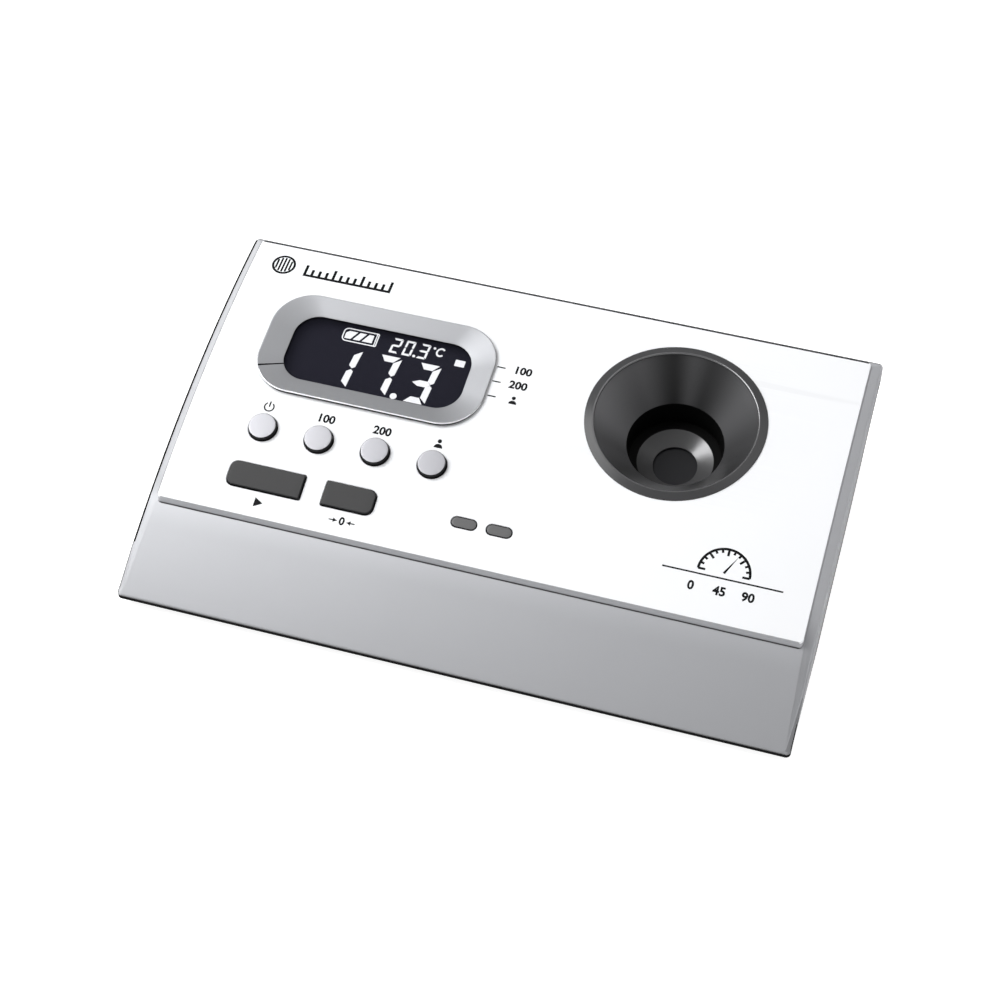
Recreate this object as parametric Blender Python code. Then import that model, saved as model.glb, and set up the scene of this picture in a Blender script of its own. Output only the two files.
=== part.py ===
"""A portable desk-top polarimeter: a wedge-shaped console with a display, keys and a slanted well for the
sample tube, and the rotating-analyser detector, boards and battery bay that it holds.

Metres, +Z up, front towards -Y. The origin is on the table under the middle of the object.
"""

import math

import bmesh
import bpy
from mathutils import Matrix, Vector

mm = 0.001
GAP = 0.3 * mm  # between neighbouring solids

# Cutters reach past the case on every side.
PAST_SIDE = 90 * mm
PAST_BACK = 60 * mm
PAST_TOP = 50 * mm
PAST_FASCIA_FRONT = -40 * mm

# ---- Driving sizes ----
CASE_WIDTH = 170.0 * mm
CASE_DEPTH = 103.46 * mm
CASE_CORNER = 1.2 * mm
CASE_WALL = 2.0 * mm
FRONT_EDGE_Z = 3.6 * mm  # height of the apron's front edge
FLOOR_BOTTOM = 1.5 * mm  # underside of the lower case, above the table
FLOOR_TOP = 3.0 * mm
UPPER_BOTTOM = FLOOR_TOP + GAP

# The top face is part of one cylinder about X. "Along" is measured on it from the fascia's back edge.
TOP_RADIUS = 268.9 * mm
TOP_AXIS_Y = 74.14 * mm
TOP_AXIS_Z = -231.2 * mm
BACK_SLOPE = math.radians(5.29)  # slope at the fascia's back edge
STEP = 2.5 * mm  # the fascia stands this much above the apron and the side strips
CAVITY_FRONT = -47.5 * mm
POST_RADIUS = 2.8 * mm
SCREW_HOLE_RADIUS = 1.4 * mm
CASE_SCREW_TOP = 12.0 * mm

FASCIA_HALF_WIDTH = 82.1 * mm
FASCIA_BACK = 0.3 * mm
FASCIA_FRONT = 81.1 * mm
FASCIA_THICKNESS = 0.6 * mm
FASCIA_CORNER = 1.2 * mm
PLATEAU_RIM = 0.25 * mm  # how far the plateau shows round the fascia
PLATEAU_TOP = -FASCIA_THICKNESS - GAP
SHELL_UNDERSIDE = -2.9 * mm

DISPLAY_CENTRE = (-39.65 * mm, 31.05 * mm)
BEZEL_SIZE = (60.5 * mm, 30.7 * mm, 10.6 * mm)  # across, along, corner radius
BEZEL_CREST = 0.7 * mm
BEZEL_SKIRT_INSET = 1.3 * mm
WINDOW_SIZE = (47.9 * mm, 20.0 * mm, 6.5 * mm)
WINDOW_LIP = (-0.8 * mm, -1.2 * mm)  # top and underside of the bezel's inner edge
LENS_SIZE = (51.0 * mm, 23.0 * mm, 7.0 * mm)
LENS_LEVELS = (-2.4 * mm, -1.4 * mm)
LCD_SIZE = (56 * mm, 27 * mm, 0.5 * mm)
LCD_LEVELS = (-5.1 * mm, -3.6 * mm)
BACKLIGHT_SIZE = (54 * mm, 25 * mm, 1.0 * mm)
BACKLIGHT_LEVELS = (-6.9 * mm, -5.4 * mm)

BUTTON_NAMES = ("power_button", "tube_100_button", "tube_200_button", "user_button")
BUTTON_FIRST = -61.5 * mm
BUTTON_PITCH = 14.93 * mm
BUTTON_ALONG = 57.2 * mm
BUTTON_RADIUS = 3.55 * mm
BUTTON_TOP = 1.35 * mm
KEY_ALONG = 70.75 * mm
KEY_DEPTH = 6.4 * mm
KEY_TOP = 0.9 * mm
KEY_CORNER = 1.8 * mm
KEYS = {  # name: centre across, width, which end is rounded
    "start_key": (-56.25 * mm, 19.4 * mm, "left"),
    "zero_key": (-34.2 * mm, 13.0 * mm, "right"),
}
CAP_CLEARANCE = 0.3 * mm
CAP_FLANGE = 0.9 * mm
BUTTON_UNDERSIDE = SHELL_UNDERSIDE - GAP - 0.75 * mm
KEY_UNDERSIDE = SHELL_UNDERSIDE - GAP - 1.0 * mm
CAP_TRAVEL = 0.6 * mm

LAMP_ALONG = 70.5 * mm
LAMP_ACROSS = 4.5 * mm
LAMP_SIZE = (6.4 * mm, 2.7 * mm)
LAMP_LEVELS = (-3.4 * mm, 0.05 * mm)

BOARD_FRAME = (-30.65 * mm, 45.0 * mm)
BOARD_SIZE = (84.3 * mm, 63.0 * mm)
BOARD_LEVELS = (-9.6 * mm, -8.4 * mm)
CHIP_SIZE = (12 * mm, 1.6 * mm)  # side, height
BOARD_SCREW_PLACES = ((-40 * mm, 0.5 * mm), (40 * mm, 12 * mm))
BOARD_SCREW_TOP = -5.2 * mm
SWITCH_CLEARANCE = 0.25 * mm  # between a pressed cap and the stem of its switch
SWITCH_SIZE = 6 * mm
CHIP_PLACE = (28 * mm, 4 * mm)

# The well. Depths are negative heights above the fascia, along the well's own axis.
WELL_CENTRE = (38.7 * mm, 30.2 * mm)
WELL_LIP_RADIUS = 22.9 * mm
WELL_BODY_RADIUS = 21.6 * mm
WELL_CREST = 0.85 * mm
CONE_TOP_RADIUS = 20.3 * mm
BORE_RADIUS = 12.4 * mm
BORE_START = -11.4 * mm
BORE_END = -19.4 * mm
WELL_WALL = 1.3 * mm
SEAT_LEVEL = -19.3 * mm  # the ledge that the sample tube stands on
SEAT_RADII = (9.8 * mm, 12.0 * mm)
APERTURE_RADIUS = 5.7 * mm
APERTURE_LEVEL = -21.6 * mm
APERTURE_BOTTOM = -22.8 * mm
WELL_WINDOW_RADIUS = 7.1 * mm

GEAR_MODULE = 0.5 * mm
ROTOR_TEETH = 60
PINION_TEETH = 12
GEAR_LEVELS = (-25.8 * mm, -24.4 * mm)
GEAR_CENTRES = GEAR_MODULE * (ROTOR_TEETH + PINION_TEETH) / 2
GEAR_BACKLASH = 0.12 * mm
BRACKET_LEVELS = (-24.1 * mm, -23.1 * mm)
BRACKET_SCREW_RADIUS = 17.6 * mm  # how far from the axis
BRACKET_REACH = BRACKET_SCREW_RADIUS + 2.2 * mm
BRACKET_BAR = 5 * mm  # width
BEARING_RADII = (5.8 * mm, 6.6 * mm)

BAY = ((-67.0 * mm, 7.5 * mm), (-19.0 * mm, 30.5 * mm))  # inside of the battery bay, seen from above
BAY_ROOF = 14.6 * mm
BAY_WALL = 1.3 * mm
CELL_RADIUS = 5.25 * mm
CELL_LENGTH = 44.5 * mm
DOOR_SLIDE = (1.9 * mm, 3.2 * mm)  # the grooves that the door's edges run in
DOOR_BACK = 51.2 * mm

FOOT_PLACES = [(x * 76 * mm, y) for x in (-1, 1) for y in (-42 * mm, 43 * mm)]
SCREW_PLACES = [(x * 76.5 * mm, y) for x in (-1, 1) for y in (-22 * mm, 30 * mm)]
FOOT_RADIUS = 4.5 * mm
FOOT_TOP = 1.7 * mm
SCREW_HEAD_RADIUS = 2.6 * mm
SCREW_HEAD = (1.9 * mm, 3.1 * mm)
ROUND_STEPS = 20
WELL_STEPS = 32
SMALL_STEPS = 12


# ---- The top surface ----
def slope_at(along):
    return BACK_SLOPE + along / TOP_RADIUS


def y_on_top(along):
    return TOP_AXIS_Y - TOP_RADIUS * math.sin(slope_at(along))


def top_frame(across, along):
    """Local X across, local Y up the slope towards the back, local Z straight out of the surface."""
    slope = slope_at(along)
    y = y_on_top(along)
    z = TOP_AXIS_Z + TOP_RADIUS * math.cos(slope)
    return Matrix.Translation((across, y, z)) @ Matrix.Rotation(slope, 4, "X")


def height_at(y, level=0.0):
    return TOP_AXIS_Z + math.sqrt((TOP_RADIUS + level) ** 2 - (TOP_AXIS_Y - y) ** 2)


def surface_line(y_back, y_front, level, steps=14):
    """Points (y, z) along the top surface, lifted by level, from the back to the front."""
    ys = [y_back + (y_front - y_back) * i / steps for i in range(steps + 1)]
    return [(y, height_at(y, level)) for y in ys]


# ---- Outlines and solids ----
def arc(centre, radius, start, end, steps):
    angles = [math.radians(start + (end - start) * i / steps) for i in range(steps + 1)]
    return [(centre[0] + radius * math.cos(a), centre[1] + radius * math.sin(a)) for a in angles]


def rounded_box(width, depth, corners, steps=6, centre=(0, 0)):
    """A rectangle with rounded corners: one radius, or one each, from the back right corner turning left."""
    radii = corners if isinstance(corners, tuple) else (corners,) * 4
    signs = ((1, 1), (-1, 1), (-1, -1), (1, -1))
    points = []
    for turn, ((sx, sy), radius) in enumerate(zip(signs, radii)):
        corner = (centre[0] + sx * (width / 2 - radius), centre[1] + sy * (depth / 2 - radius))
        if radius:
            points += arc(corner, radius, 90 * turn, 90 * turn + 90, steps)
        else:
            points.append(corner)
    return points


def circle(radius, steps=ROUND_STEPS, centre=(0, 0)):
    return arc(centre, radius, 0, 360, steps)[:-1]


def lofted(outlines):
    """A solid through outlines of equal count, given as (points, z) from the bottom to the top."""
    bm = bmesh.new()
    rings = [[bm.verts.new((x, y, z)) for x, y in points] for points, z in outlines]
    for low, high in zip(rings, rings[1:]):
        for i in range(len(low)):
            j = (i + 1) % len(low)
            bm.faces.new((low[i], low[j], high[j], high[i]))
    bm.faces.new(reversed(rings[0]))
    bm.faces.new(rings[-1])
    return bm


def prism(points, low, high):
    return lofted([(points, low), (points, high)])


def box(low, high):
    points = [(low[0], low[1]), (high[0], low[1]), (high[0], high[1]), (low[0], high[1])]
    return prism(points, low[2], high[2])


def side_prism(points, half_width):
    """A solid from a side view (y, z), as wide as the two half widths."""
    bm = prism([(y, z) for y, z in points], -half_width, half_width)
    turn = Matrix(((0, 0, 1, 0), (1, 0, 0, 0), (0, 1, 0, 0), (0, 0, 0, 1)))
    bmesh.ops.transform(bm, matrix=turn, verts=bm.verts)
    bmesh.ops.recalc_face_normals(bm, faces=bm.faces)
    return bm


def turned(profile, steps=WELL_STEPS):
    """A solid turned about Z from a closed profile of (radius, z)."""
    bm = bmesh.new()
    verts = [bm.verts.new((r, 0, z)) for r, z in profile]
    pairs = zip(verts, verts[1:] + verts[:1])
    edges = [bm.edges.new(pair) for pair in pairs if max(v.co.x for v in pair) > 0]
    bmesh.ops.spin(
        bm, geom=verts + edges, cent=(0, 0, 0), axis=(0, 0, 1), angle=2 * math.pi, steps=steps
    )
    bmesh.ops.remove_doubles(bm, verts=bm.verts, dist=1e-6)
    bmesh.ops.recalc_face_normals(bm, faces=bm.faces)
    return bm


def gear_outline(teeth, phase=0.0):
    """An involute spur gear's outline, with one tooth centred at the phase angle."""
    pressure = math.radians(20)
    pitch_radius = GEAR_MODULE * teeth / 2
    base_radius = pitch_radius * math.cos(pressure)
    root_radius = pitch_radius - 1.25 * GEAR_MODULE
    tip_radius = pitch_radius + 0.9 * GEAR_MODULE
    half_at_pitch = math.pi / (2 * teeth) - GEAR_BACKLASH / (2 * pitch_radius)

    def half_angle(radius):
        reach = math.acos(min(1.0, base_radius / radius))  # below the base circle the flank is radial
        return half_at_pitch + (math.tan(pressure) - pressure) - (math.tan(reach) - reach)

    flank = (root_radius, pitch_radius, tip_radius) if teeth < 20 else (root_radius, tip_radius)
    points = []
    for tooth in range(teeth):
        middle = phase + 2 * math.pi * tooth / teeth
        rising = [(r, middle - half_angle(r)) for r in flank]
        falling = [(r, middle + half_angle(r)) for r in reversed(flank)]
        for r, angle in rising + falling:
            point = (r * math.cos(angle), r * math.sin(angle))
            if not points or math.dist(point, points[-1]) > 0.01 * mm:
                points.append(point)
    return points


# ---- Objects ----
def material(name, colour, roughness, metallic=0.0, alpha=1.0):
    made = bpy.data.materials.new(name)
    made.use_nodes = True
    shader = made.node_tree.nodes["Principled BSDF"]
    shader.inputs["Base Color"].default_value = (*colour, 1)
    shader.inputs["Roughness"].default_value = roughness
    shader.inputs["Metallic"].default_value = metallic
    shader.inputs["Alpha"].default_value = alpha
    return made


def add(name, bm, finish=None, frame=None):
    """A new object from a bmesh, standing in a frame."""
    mesh = bpy.data.meshes.new(name)
    bm.to_mesh(mesh)
    bm.free()
    obj = bpy.data.objects.new(name, mesh)
    bpy.context.scene.collection.objects.link(obj)
    obj.matrix_world = frame or Matrix()
    if finish:
        mesh.materials.append(finish)
        mesh.shade_smooth()
        mesh.set_sharp_from_angle(angle=math.radians(30))
    return obj


def helper(name, bm, frame=None):
    """A cutter or a shape to join: it stays out of the model."""
    obj = add(name, bm, frame=frame)
    obj.hide_render = True
    obj.display_type = "WIRE"
    return obj


def combine(obj, operation, others):
    for other in others:
        modifier = obj.modifiers.new(other.name, "BOOLEAN")
        modifier.operation = operation
        modifier.object = other
        modifier.solver = "EXACT"


# ---- Casings ----
def plan(low_y, high_y, half_width, corner, low_z, high_z):
    outline = rounded_box(
        2 * half_width, high_y - low_y, corner, steps=6, centre=(0, (low_y + high_y) / 2)
    )
    return prism(outline, low_z, high_z)


def top_body(y_back, y_front, half_width, level, bottom):
    line = surface_line(y_back, y_front, level)
    return side_prism([(y_front, bottom), (y_back, bottom)] + line, half_width)


def panel_openings():
    """The holes that the fascia and the upper case share, one cutter each."""
    deep, high = -8 * mm, 4 * mm  # from the panel's surface
    width, depth, corner = (size - 2 * BEZEL_SKIRT_INSET + 2 * GAP for size in BEZEL_SIZE)
    cutters = [
        helper(
            "opening_display",
            prism(rounded_box(width, depth, corner), deep, high),
            top_frame(*DISPLAY_CENTRE),
        )
    ]
    for i, name in enumerate(BUTTON_NAMES):
        frame = top_frame(BUTTON_FIRST + i * BUTTON_PITCH, BUTTON_ALONG)
        outline = circle(BUTTON_RADIUS + CAP_CLEARANCE)
        cutters.append(helper(f"opening_{name}", prism(outline, deep, high), frame))
    for name, (across, width, rounded) in KEYS.items():
        outline = key_outline(width, rounded, CAP_CLEARANCE)
        cutters.append(
            helper(f"opening_{name}", prism(outline, deep, high), top_frame(across, KEY_ALONG))
        )
    for side, word in ((-1, "left"), (1, "right")):
        outline = lamp_outline(GAP)
        frame = top_frame(side * LAMP_ACROSS, LAMP_ALONG)
        cutters.append(helper(f"opening_lamp_{word}", prism(outline, deep, high), frame))
    outline = circle(WELL_BODY_RADIUS + GAP, WELL_STEPS)
    cutters.append(helper("opening_well", prism(outline, deep, high), top_frame(*WELL_CENTRE)))
    return cutters


def upper_case(finish, openings):
    half_width, half_depth = CASE_WIDTH / 2, CASE_DEPTH / 2
    whole = top_body(PAST_BACK, -half_depth, PAST_SIDE, -STEP, UPPER_BOTTOM)
    case = add("upper_case", whole, finish)
    outline = plan(-half_depth, half_depth, half_width, CASE_CORNER, 0, PAST_TOP)
    combine(case, "INTERSECT", [helper("case_outline", outline)])

    slab = top_body(PAST_BACK, PAST_FASCIA_FRONT, PAST_SIDE, PLATEAU_TOP, 6 * mm)
    plateau = helper("plateau", slab)
    outline = plan(
        y_on_top(FASCIA_FRONT + PLATEAU_RIM),
        y_on_top(FASCIA_BACK - PLATEAU_RIM),
        FASCIA_HALF_WIDTH + PLATEAU_RIM,
        FASCIA_CORNER + PLATEAU_RIM,
        4 * mm,
        PAST_TOP,
    )
    plateau_outline = helper("plateau_outline", outline)
    combine(plateau, "INTERSECT", [plateau_outline])
    combine(case, "UNION", [plateau])

    inner_back, inner_side = half_depth - CASE_WALL, half_width - CASE_WALL
    low_cavity = top_body(inner_back, CAVITY_FRONT, inner_side, -STEP - CASE_WALL, -5 * mm)
    high_back, high_front = y_on_top(FASCIA_BACK + 2.2 * mm), y_on_top(FASCIA_FRONT - STEP)
    high_side = FASCIA_HALF_WIDTH - 1.9 * mm
    high_cavity = top_body(high_back, high_front, high_side, SHELL_UNDERSIDE, 4 * mm)
    cavities = [helper("low_cavity", low_cavity), helper("high_cavity", high_cavity)]
    combine(case, "DIFFERENCE", cavities)

    for i, (x, y) in enumerate(SCREW_PLACES):
        top = height_at(y, SHELL_UNDERSIDE + 0.8 * mm)
        outline = circle(POST_RADIUS, SMALL_STEPS, (x, y))
        post = helper(f"post_{i}", prism(outline, 5.2 * mm, top))
        outline = circle(SCREW_HOLE_RADIUS, SMALL_STEPS, (x, y))
        hole = helper(f"post_hole_{i}", prism(outline, 0, CASE_SCREW_TOP + 0.5 * mm))
        combine(case, "UNION", [post])
        combine(case, "DIFFERENCE", [hole])
    combine(case, "DIFFERENCE", openings)
    return case


def fascia_plate(finish, openings):
    line = surface_line(PAST_BACK, PAST_FASCIA_FRONT, 0)
    under = surface_line(PAST_BACK, PAST_FASCIA_FRONT, -FASCIA_THICKNESS)
    plate = add("fascia_plate", side_prism(under[::-1] + line, PAST_SIDE), finish)
    front, back = y_on_top(FASCIA_FRONT), y_on_top(FASCIA_BACK)
    outline = plan(front, back, FASCIA_HALF_WIDTH, FASCIA_CORNER, 0, PAST_TOP)
    combine(plate, "INTERSECT", [helper("fascia_outline", outline)])
    combine(plate, "DIFFERENCE", openings)


def lower_case(finish):
    half_width, half_depth = CASE_WIDTH / 2, CASE_DEPTH / 2
    inset = 1.4 * mm  # of the chamfer round the underside
    full = rounded_box(CASE_WIDTH, CASE_DEPTH, CASE_CORNER, steps=4)
    small = rounded_box(CASE_WIDTH - 2 * inset, CASE_DEPTH - 2 * inset, CASE_CORNER, steps=4)
    tray = lofted([(small, FLOOR_BOTTOM), (full, FLOOR_BOTTOM + 0.8 * mm), (full, FLOOR_TOP)])
    case = add("lower_case", tray, finish)

    low = 2 * mm  # joined shapes start inside the floor
    rim_front, rim_top, rim_wall = -36 * mm, 6.5 * mm, 1.2 * mm
    rim_side = half_width - CASE_WALL - GAP
    rim_back = half_depth - CASE_WALL - GAP
    rim = helper("rim", box((-rim_side, rim_front, low), (rim_side, rim_back, rim_top)))
    rim_inside = box(
        (-rim_side + rim_wall, rim_front - mm, FLOOR_TOP),
        (rim_side - rim_wall, rim_back - rim_wall, rim_top + mm),
    )
    combine(rim, "DIFFERENCE", [helper("rim_inside", rim_inside)])

    (left, front), (right, back) = BAY
    bay = box(
        (left - BAY_WALL, front - BAY_WALL, low),
        (right + BAY_WALL, back + BAY_WALL, BAY_ROOF + BAY_WALL),
    )
    margin = 2.5 * mm
    door_roof = box(
        (left - margin, front - margin, low), (right + margin, rim_back, DOOR_SLIDE[1] + 1.5 * mm)
    )
    combine(case, "UNION", [rim, helper("door_roof", door_roof), helper("bay", bay)])
    stop = front - 0.8 * mm
    inside = box((left, front, 0), (right, back, BAY_ROOF))
    slide = box((left - mm, stop, DOOR_SLIDE[0]), (right + mm, PAST_BACK, DOOR_SLIDE[1]))
    slot = box((left, stop, 0), (right, PAST_BACK, DOOR_SLIDE[1]))
    cutters = [helper("bay_inside", inside), helper("door_slide", slide), helper("door_slot", slot)]
    combine(case, "DIFFERENCE", cutters)

    for i, (x, y) in enumerate(SCREW_PLACES):
        boss = prism(circle(4 * mm, 16, (x, y)), low, 4.9 * mm)
        sink = prism(circle(SCREW_HEAD_RADIUS + GAP, 16, (x, y)), 0, SCREW_HEAD[1] + GAP)
        bore = prism(circle(SCREW_HOLE_RADIUS, SMALL_STEPS, (x, y)), 0, 6 * mm)
        combine(case, "UNION", [helper(f"boss_{i}", boss)])
        combine(case, "DIFFERENCE", [helper(f"sink_{i}", sink), helper(f"bore_{i}", bore)])
    for i, (x, y) in enumerate(FOOT_PLACES):
        pocket = prism(circle(FOOT_RADIUS + GAP, 16, (x, y)), 0, FOOT_TOP + GAP)
        combine(case, "DIFFERENCE", [helper(f"pocket_{i}", pocket)])


def feet_and_screws(rubber, steel):
    corners = ("front_left", "back_left", "front_right", "back_right")
    for word, (x, y) in zip(corners, FOOT_PLACES):
        chamfer = 0.6 * mm
        foot = [(0, 0), (FOOT_RADIUS - chamfer, 0), (FOOT_RADIUS, chamfer)]
        profile = [*foot, (FOOT_RADIUS, FOOT_TOP), (0, FOOT_TOP)]
        add(f"foot_{word}", turned(profile, 24), rubber, Matrix.Translation((x, y, 0)))
    for word, (x, y) in zip(corners, SCREW_PLACES):
        shank = SCREW_HOLE_RADIUS - GAP
        profile = [
            (0, SCREW_HEAD[0]),
            (SCREW_HEAD_RADIUS, SCREW_HEAD[0]),
            (SCREW_HEAD_RADIUS, SCREW_HEAD[1]),
            (shank, SCREW_HEAD[1]),
            (shank, CASE_SCREW_TOP - 0.5 * mm),
            (0, CASE_SCREW_TOP),
        ]
        add(f"case_screw_{word}", turned(profile, SMALL_STEPS), steel, Matrix.Translation((x, y, 0)))


# ---- Display ----
def display(metal, clear, dark, white):
    frame = top_frame(*DISPLAY_CENTRE)
    width, depth, corner = BEZEL_SIZE
    window_width, window_depth, window_corner = WINDOW_SIZE
    outer = rounded_box(width, depth, corner, steps=8)
    crest = rounded_box(width - 0.8 * mm, depth - 0.8 * mm, corner - 0.4 * mm, steps=8)
    flange = lofted([(outer, -1.0 * mm), (outer, BEZEL_CREST - 0.3 * mm), (crest, BEZEL_CREST)])
    bezel = add("display_bezel", flange, metal, frame)
    below = top_body(PAST_BACK, PAST_FASCIA_FRONT, PAST_SIDE, GAP, 0)
    panel = helper("below_bezel", below)
    combine(bezel, "DIFFERENCE", [panel])
    inset = 2 * BEZEL_SKIRT_INSET
    skirt = prism(rounded_box(width - inset, depth - inset, corner - inset / 2), -2.6 * mm, 0.5 * mm)
    combine(bezel, "UNION", [helper("bezel_skirt", skirt, frame)])
    rim = 1.2 * mm  # width of the flat crest round the dish
    mouth = rounded_box(width - 2 * rim, depth - 2 * rim, corner - rim, steps=8)
    window = rounded_box(window_width, window_depth, window_corner, steps=8)
    above = 2 * mm
    dish = lofted([(window, WINDOW_LIP[0]), (mouth, BEZEL_CREST), (mouth, BEZEL_CREST + above)])
    hole = prism(window, -4 * mm, above)
    lens_width, lens_depth, lens_corner = (size + 2 * GAP for size in LENS_SIZE)
    seat = prism(rounded_box(lens_width, lens_depth, lens_corner), -4 * mm, WINDOW_LIP[1])
    cutters = [helper("dish", dish, frame), helper("window_hole", hole, frame)]
    cutters.append(helper("lens_seat", seat, frame))
    combine(bezel, "DIFFERENCE", cutters)

    add("display_window", prism(rounded_box(*LENS_SIZE), *LENS_LEVELS), clear, frame)
    add("lcd_panel", prism(rounded_box(*LCD_SIZE, steps=2), *LCD_LEVELS), dark, frame)
    glow = prism(rounded_box(*BACKLIGHT_SIZE, steps=2), *BACKLIGHT_LEVELS)
    add("lcd_backlight", glow, white, frame)


# ---- Buttons and keys ----
def key_outline(width, rounded, grow=0.0):
    corner, sharp = KEY_CORNER + grow, 0.15 * mm + grow
    left, right = (corner, sharp) if rounded == "left" else (sharp, corner)
    return rounded_box(width + 2 * grow, KEY_DEPTH + 2 * grow, (right, left, left, right), steps=4)


def lamp_outline(grow=0.0):
    length, breadth = (size + 2 * grow for size in LAMP_SIZE)
    return rounded_box(length, breadth, breadth / 2 - 0.01 * mm, steps=4)


def round_buttons(finish):
    flange_top = SHELL_UNDERSIDE - GAP
    flange = BUTTON_RADIUS + CAP_CLEARANCE + CAP_FLANGE
    edge = 0.3 * mm
    profile = [
        (0, BUTTON_UNDERSIDE),
        (flange, BUTTON_UNDERSIDE),
        (flange, flange_top),
        (BUTTON_RADIUS, flange_top),
        (BUTTON_RADIUS, BUTTON_TOP - edge),
        (BUTTON_RADIUS - edge, BUTTON_TOP),
        (0, BUTTON_TOP),
    ]
    for i, name in enumerate(BUTTON_NAMES):
        frame = top_frame(BUTTON_FIRST + i * BUTTON_PITCH, BUTTON_ALONG)
        add(name, turned(profile, ROUND_STEPS), finish, frame)


def long_keys(finish):
    flange_top = SHELL_UNDERSIDE - GAP
    for name, (across, width, rounded) in KEYS.items():
        frame = top_frame(across, KEY_ALONG)
        low = key_outline(width, rounded, CAP_CLEARANCE + CAP_FLANGE)
        cap = key_outline(width, rounded)
        edge = 0.25 * mm
        inset = 1 - 2 * edge / KEY_DEPTH
        top = [(x, y * inset) for x, y in key_outline(width - 2 * edge, rounded)]
        levels = [
            (low, KEY_UNDERSIDE),
            (low, flange_top),
            (cap, flange_top),
            (cap, KEY_TOP - edge),
            (top, KEY_TOP),
        ]
        add(name, lofted(levels), finish, frame)


def lamps(lens, glow):
    for side, word in ((-1, "left"), (1, "right")):
        frame = top_frame(side * LAMP_ACROSS, LAMP_ALONG)
        add(f"lamp_lens_{word}", prism(lamp_outline(), *LAMP_LEVELS), lens, frame)
        radius = 1.5 * mm
        foot, shoulder = BOARD_LEVELS[1] + GAP, -6.2 * mm
        dome = arc((0, shoulder), radius, 0, 90, 2)[:-1]
        profile = [(0, foot), (radius, foot), *dome, (0, shoulder + radius)]
        board = top_frame(*BOARD_FRAME)
        place = board @ Matrix.Translation(on_board(side * LAMP_ACROSS, LAMP_ALONG))
        add(f"lamp_led_{word}", turned(profile, 10), glow, place)


# ---- Main board ----
def on_board(across, along):
    """The point of the board's plane under a place on the top face, in the board's frame."""
    local = top_frame(*BOARD_FRAME).inverted() @ top_frame(across, along).translation
    return Vector((local.x, local.y, 0))


def key_switch(name, across, along, cap_underside, finish):
    """A push switch on the board, its stem just short of where the pressed cap stops."""
    board = top_frame(*BOARD_FRAME)
    place = board @ Matrix.Translation(on_board(across, along))
    cap = board.inverted() @ top_frame(across, along) @ Vector((0, 0, cap_underside))
    stem_top = cap.z - CAP_TRAVEL - SWITCH_CLEARANCE
    low = BOARD_LEVELS[1] + GAP
    outline = rounded_box(SWITCH_SIZE, SWITCH_SIZE, 0.3 * mm, steps=1)
    base = add(name, prism(outline, low, stem_top - 0.6 * mm), finish, place)
    stem = prism(circle(1.7 * mm, SMALL_STEPS), low + 0.5 * mm, stem_top)
    combine(base, "UNION", [helper(f"{name}_stem", stem, place)])


def switches(black):
    for i, name in enumerate(BUTTON_NAMES):
        across = BUTTON_FIRST + i * BUTTON_PITCH
        switch = name.replace("button", "switch")
        key_switch(switch, across, BUTTON_ALONG, BUTTON_UNDERSIDE, black)
    for name, (across, _, _) in KEYS.items():
        key_switch(name.replace("key", "switch"), across, KEY_ALONG, KEY_UNDERSIDE, black)


def main_board(green, black, metal):
    frame = top_frame(*BOARD_FRAME)
    outline = rounded_box(*BOARD_SIZE, mm, steps=2)
    board = add("main_board", prism(outline, *BOARD_LEVELS), green, frame)
    head = BOARD_LEVELS[0] - GAP
    side, height = CHIP_SIZE
    chip = prism(rounded_box(side, side, 0.4 * mm, steps=1), head - height, head)
    add("processor_chip", chip, black, frame @ Matrix.Translation((*CHIP_PLACE, 0)))

    for word, place in board_screw_frames():
        profile = [
            (0, head - 1.2 * mm),
            (2.0 * mm, head - 1.2 * mm),
            (2.0 * mm, head),
            (0.9 * mm, head),
            (0.9 * mm, BOARD_SCREW_TOP),
            (0, BOARD_SCREW_TOP),
        ]
        add(f"board_screw_{word}", turned(profile, SMALL_STEPS), metal, place)
        hole = prism(circle(1.3 * mm, SMALL_STEPS), -12 * mm, -7 * mm)
        combine(board, "DIFFERENCE", [helper(f"board_hole_{word}", hole, place)])


def board_screw_frames():
    frame = top_frame(*BOARD_FRAME)
    for word, (x, y) in zip(("left", "right"), BOARD_SCREW_PLACES):
        yield word, frame @ Matrix.Translation((x, y, 0))


def board_posts(case):
    """Screw posts under the upper case's top, for the main board."""
    for word, place in board_screw_frames():
        post = prism(circle(2.4 * mm, SMALL_STEPS), BOARD_LEVELS[1] + 0.4 * mm, -1.8 * mm)
        hole = prism(circle(1.2 * mm, SMALL_STEPS), -12 * mm, BOARD_SCREW_TOP + 0.8 * mm)
        combine(case, "UNION", [helper(f"board_post_{word}", post, place)])
        combine(case, "DIFFERENCE", [helper(f"board_post_hole_{word}", hole, place)])


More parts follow.
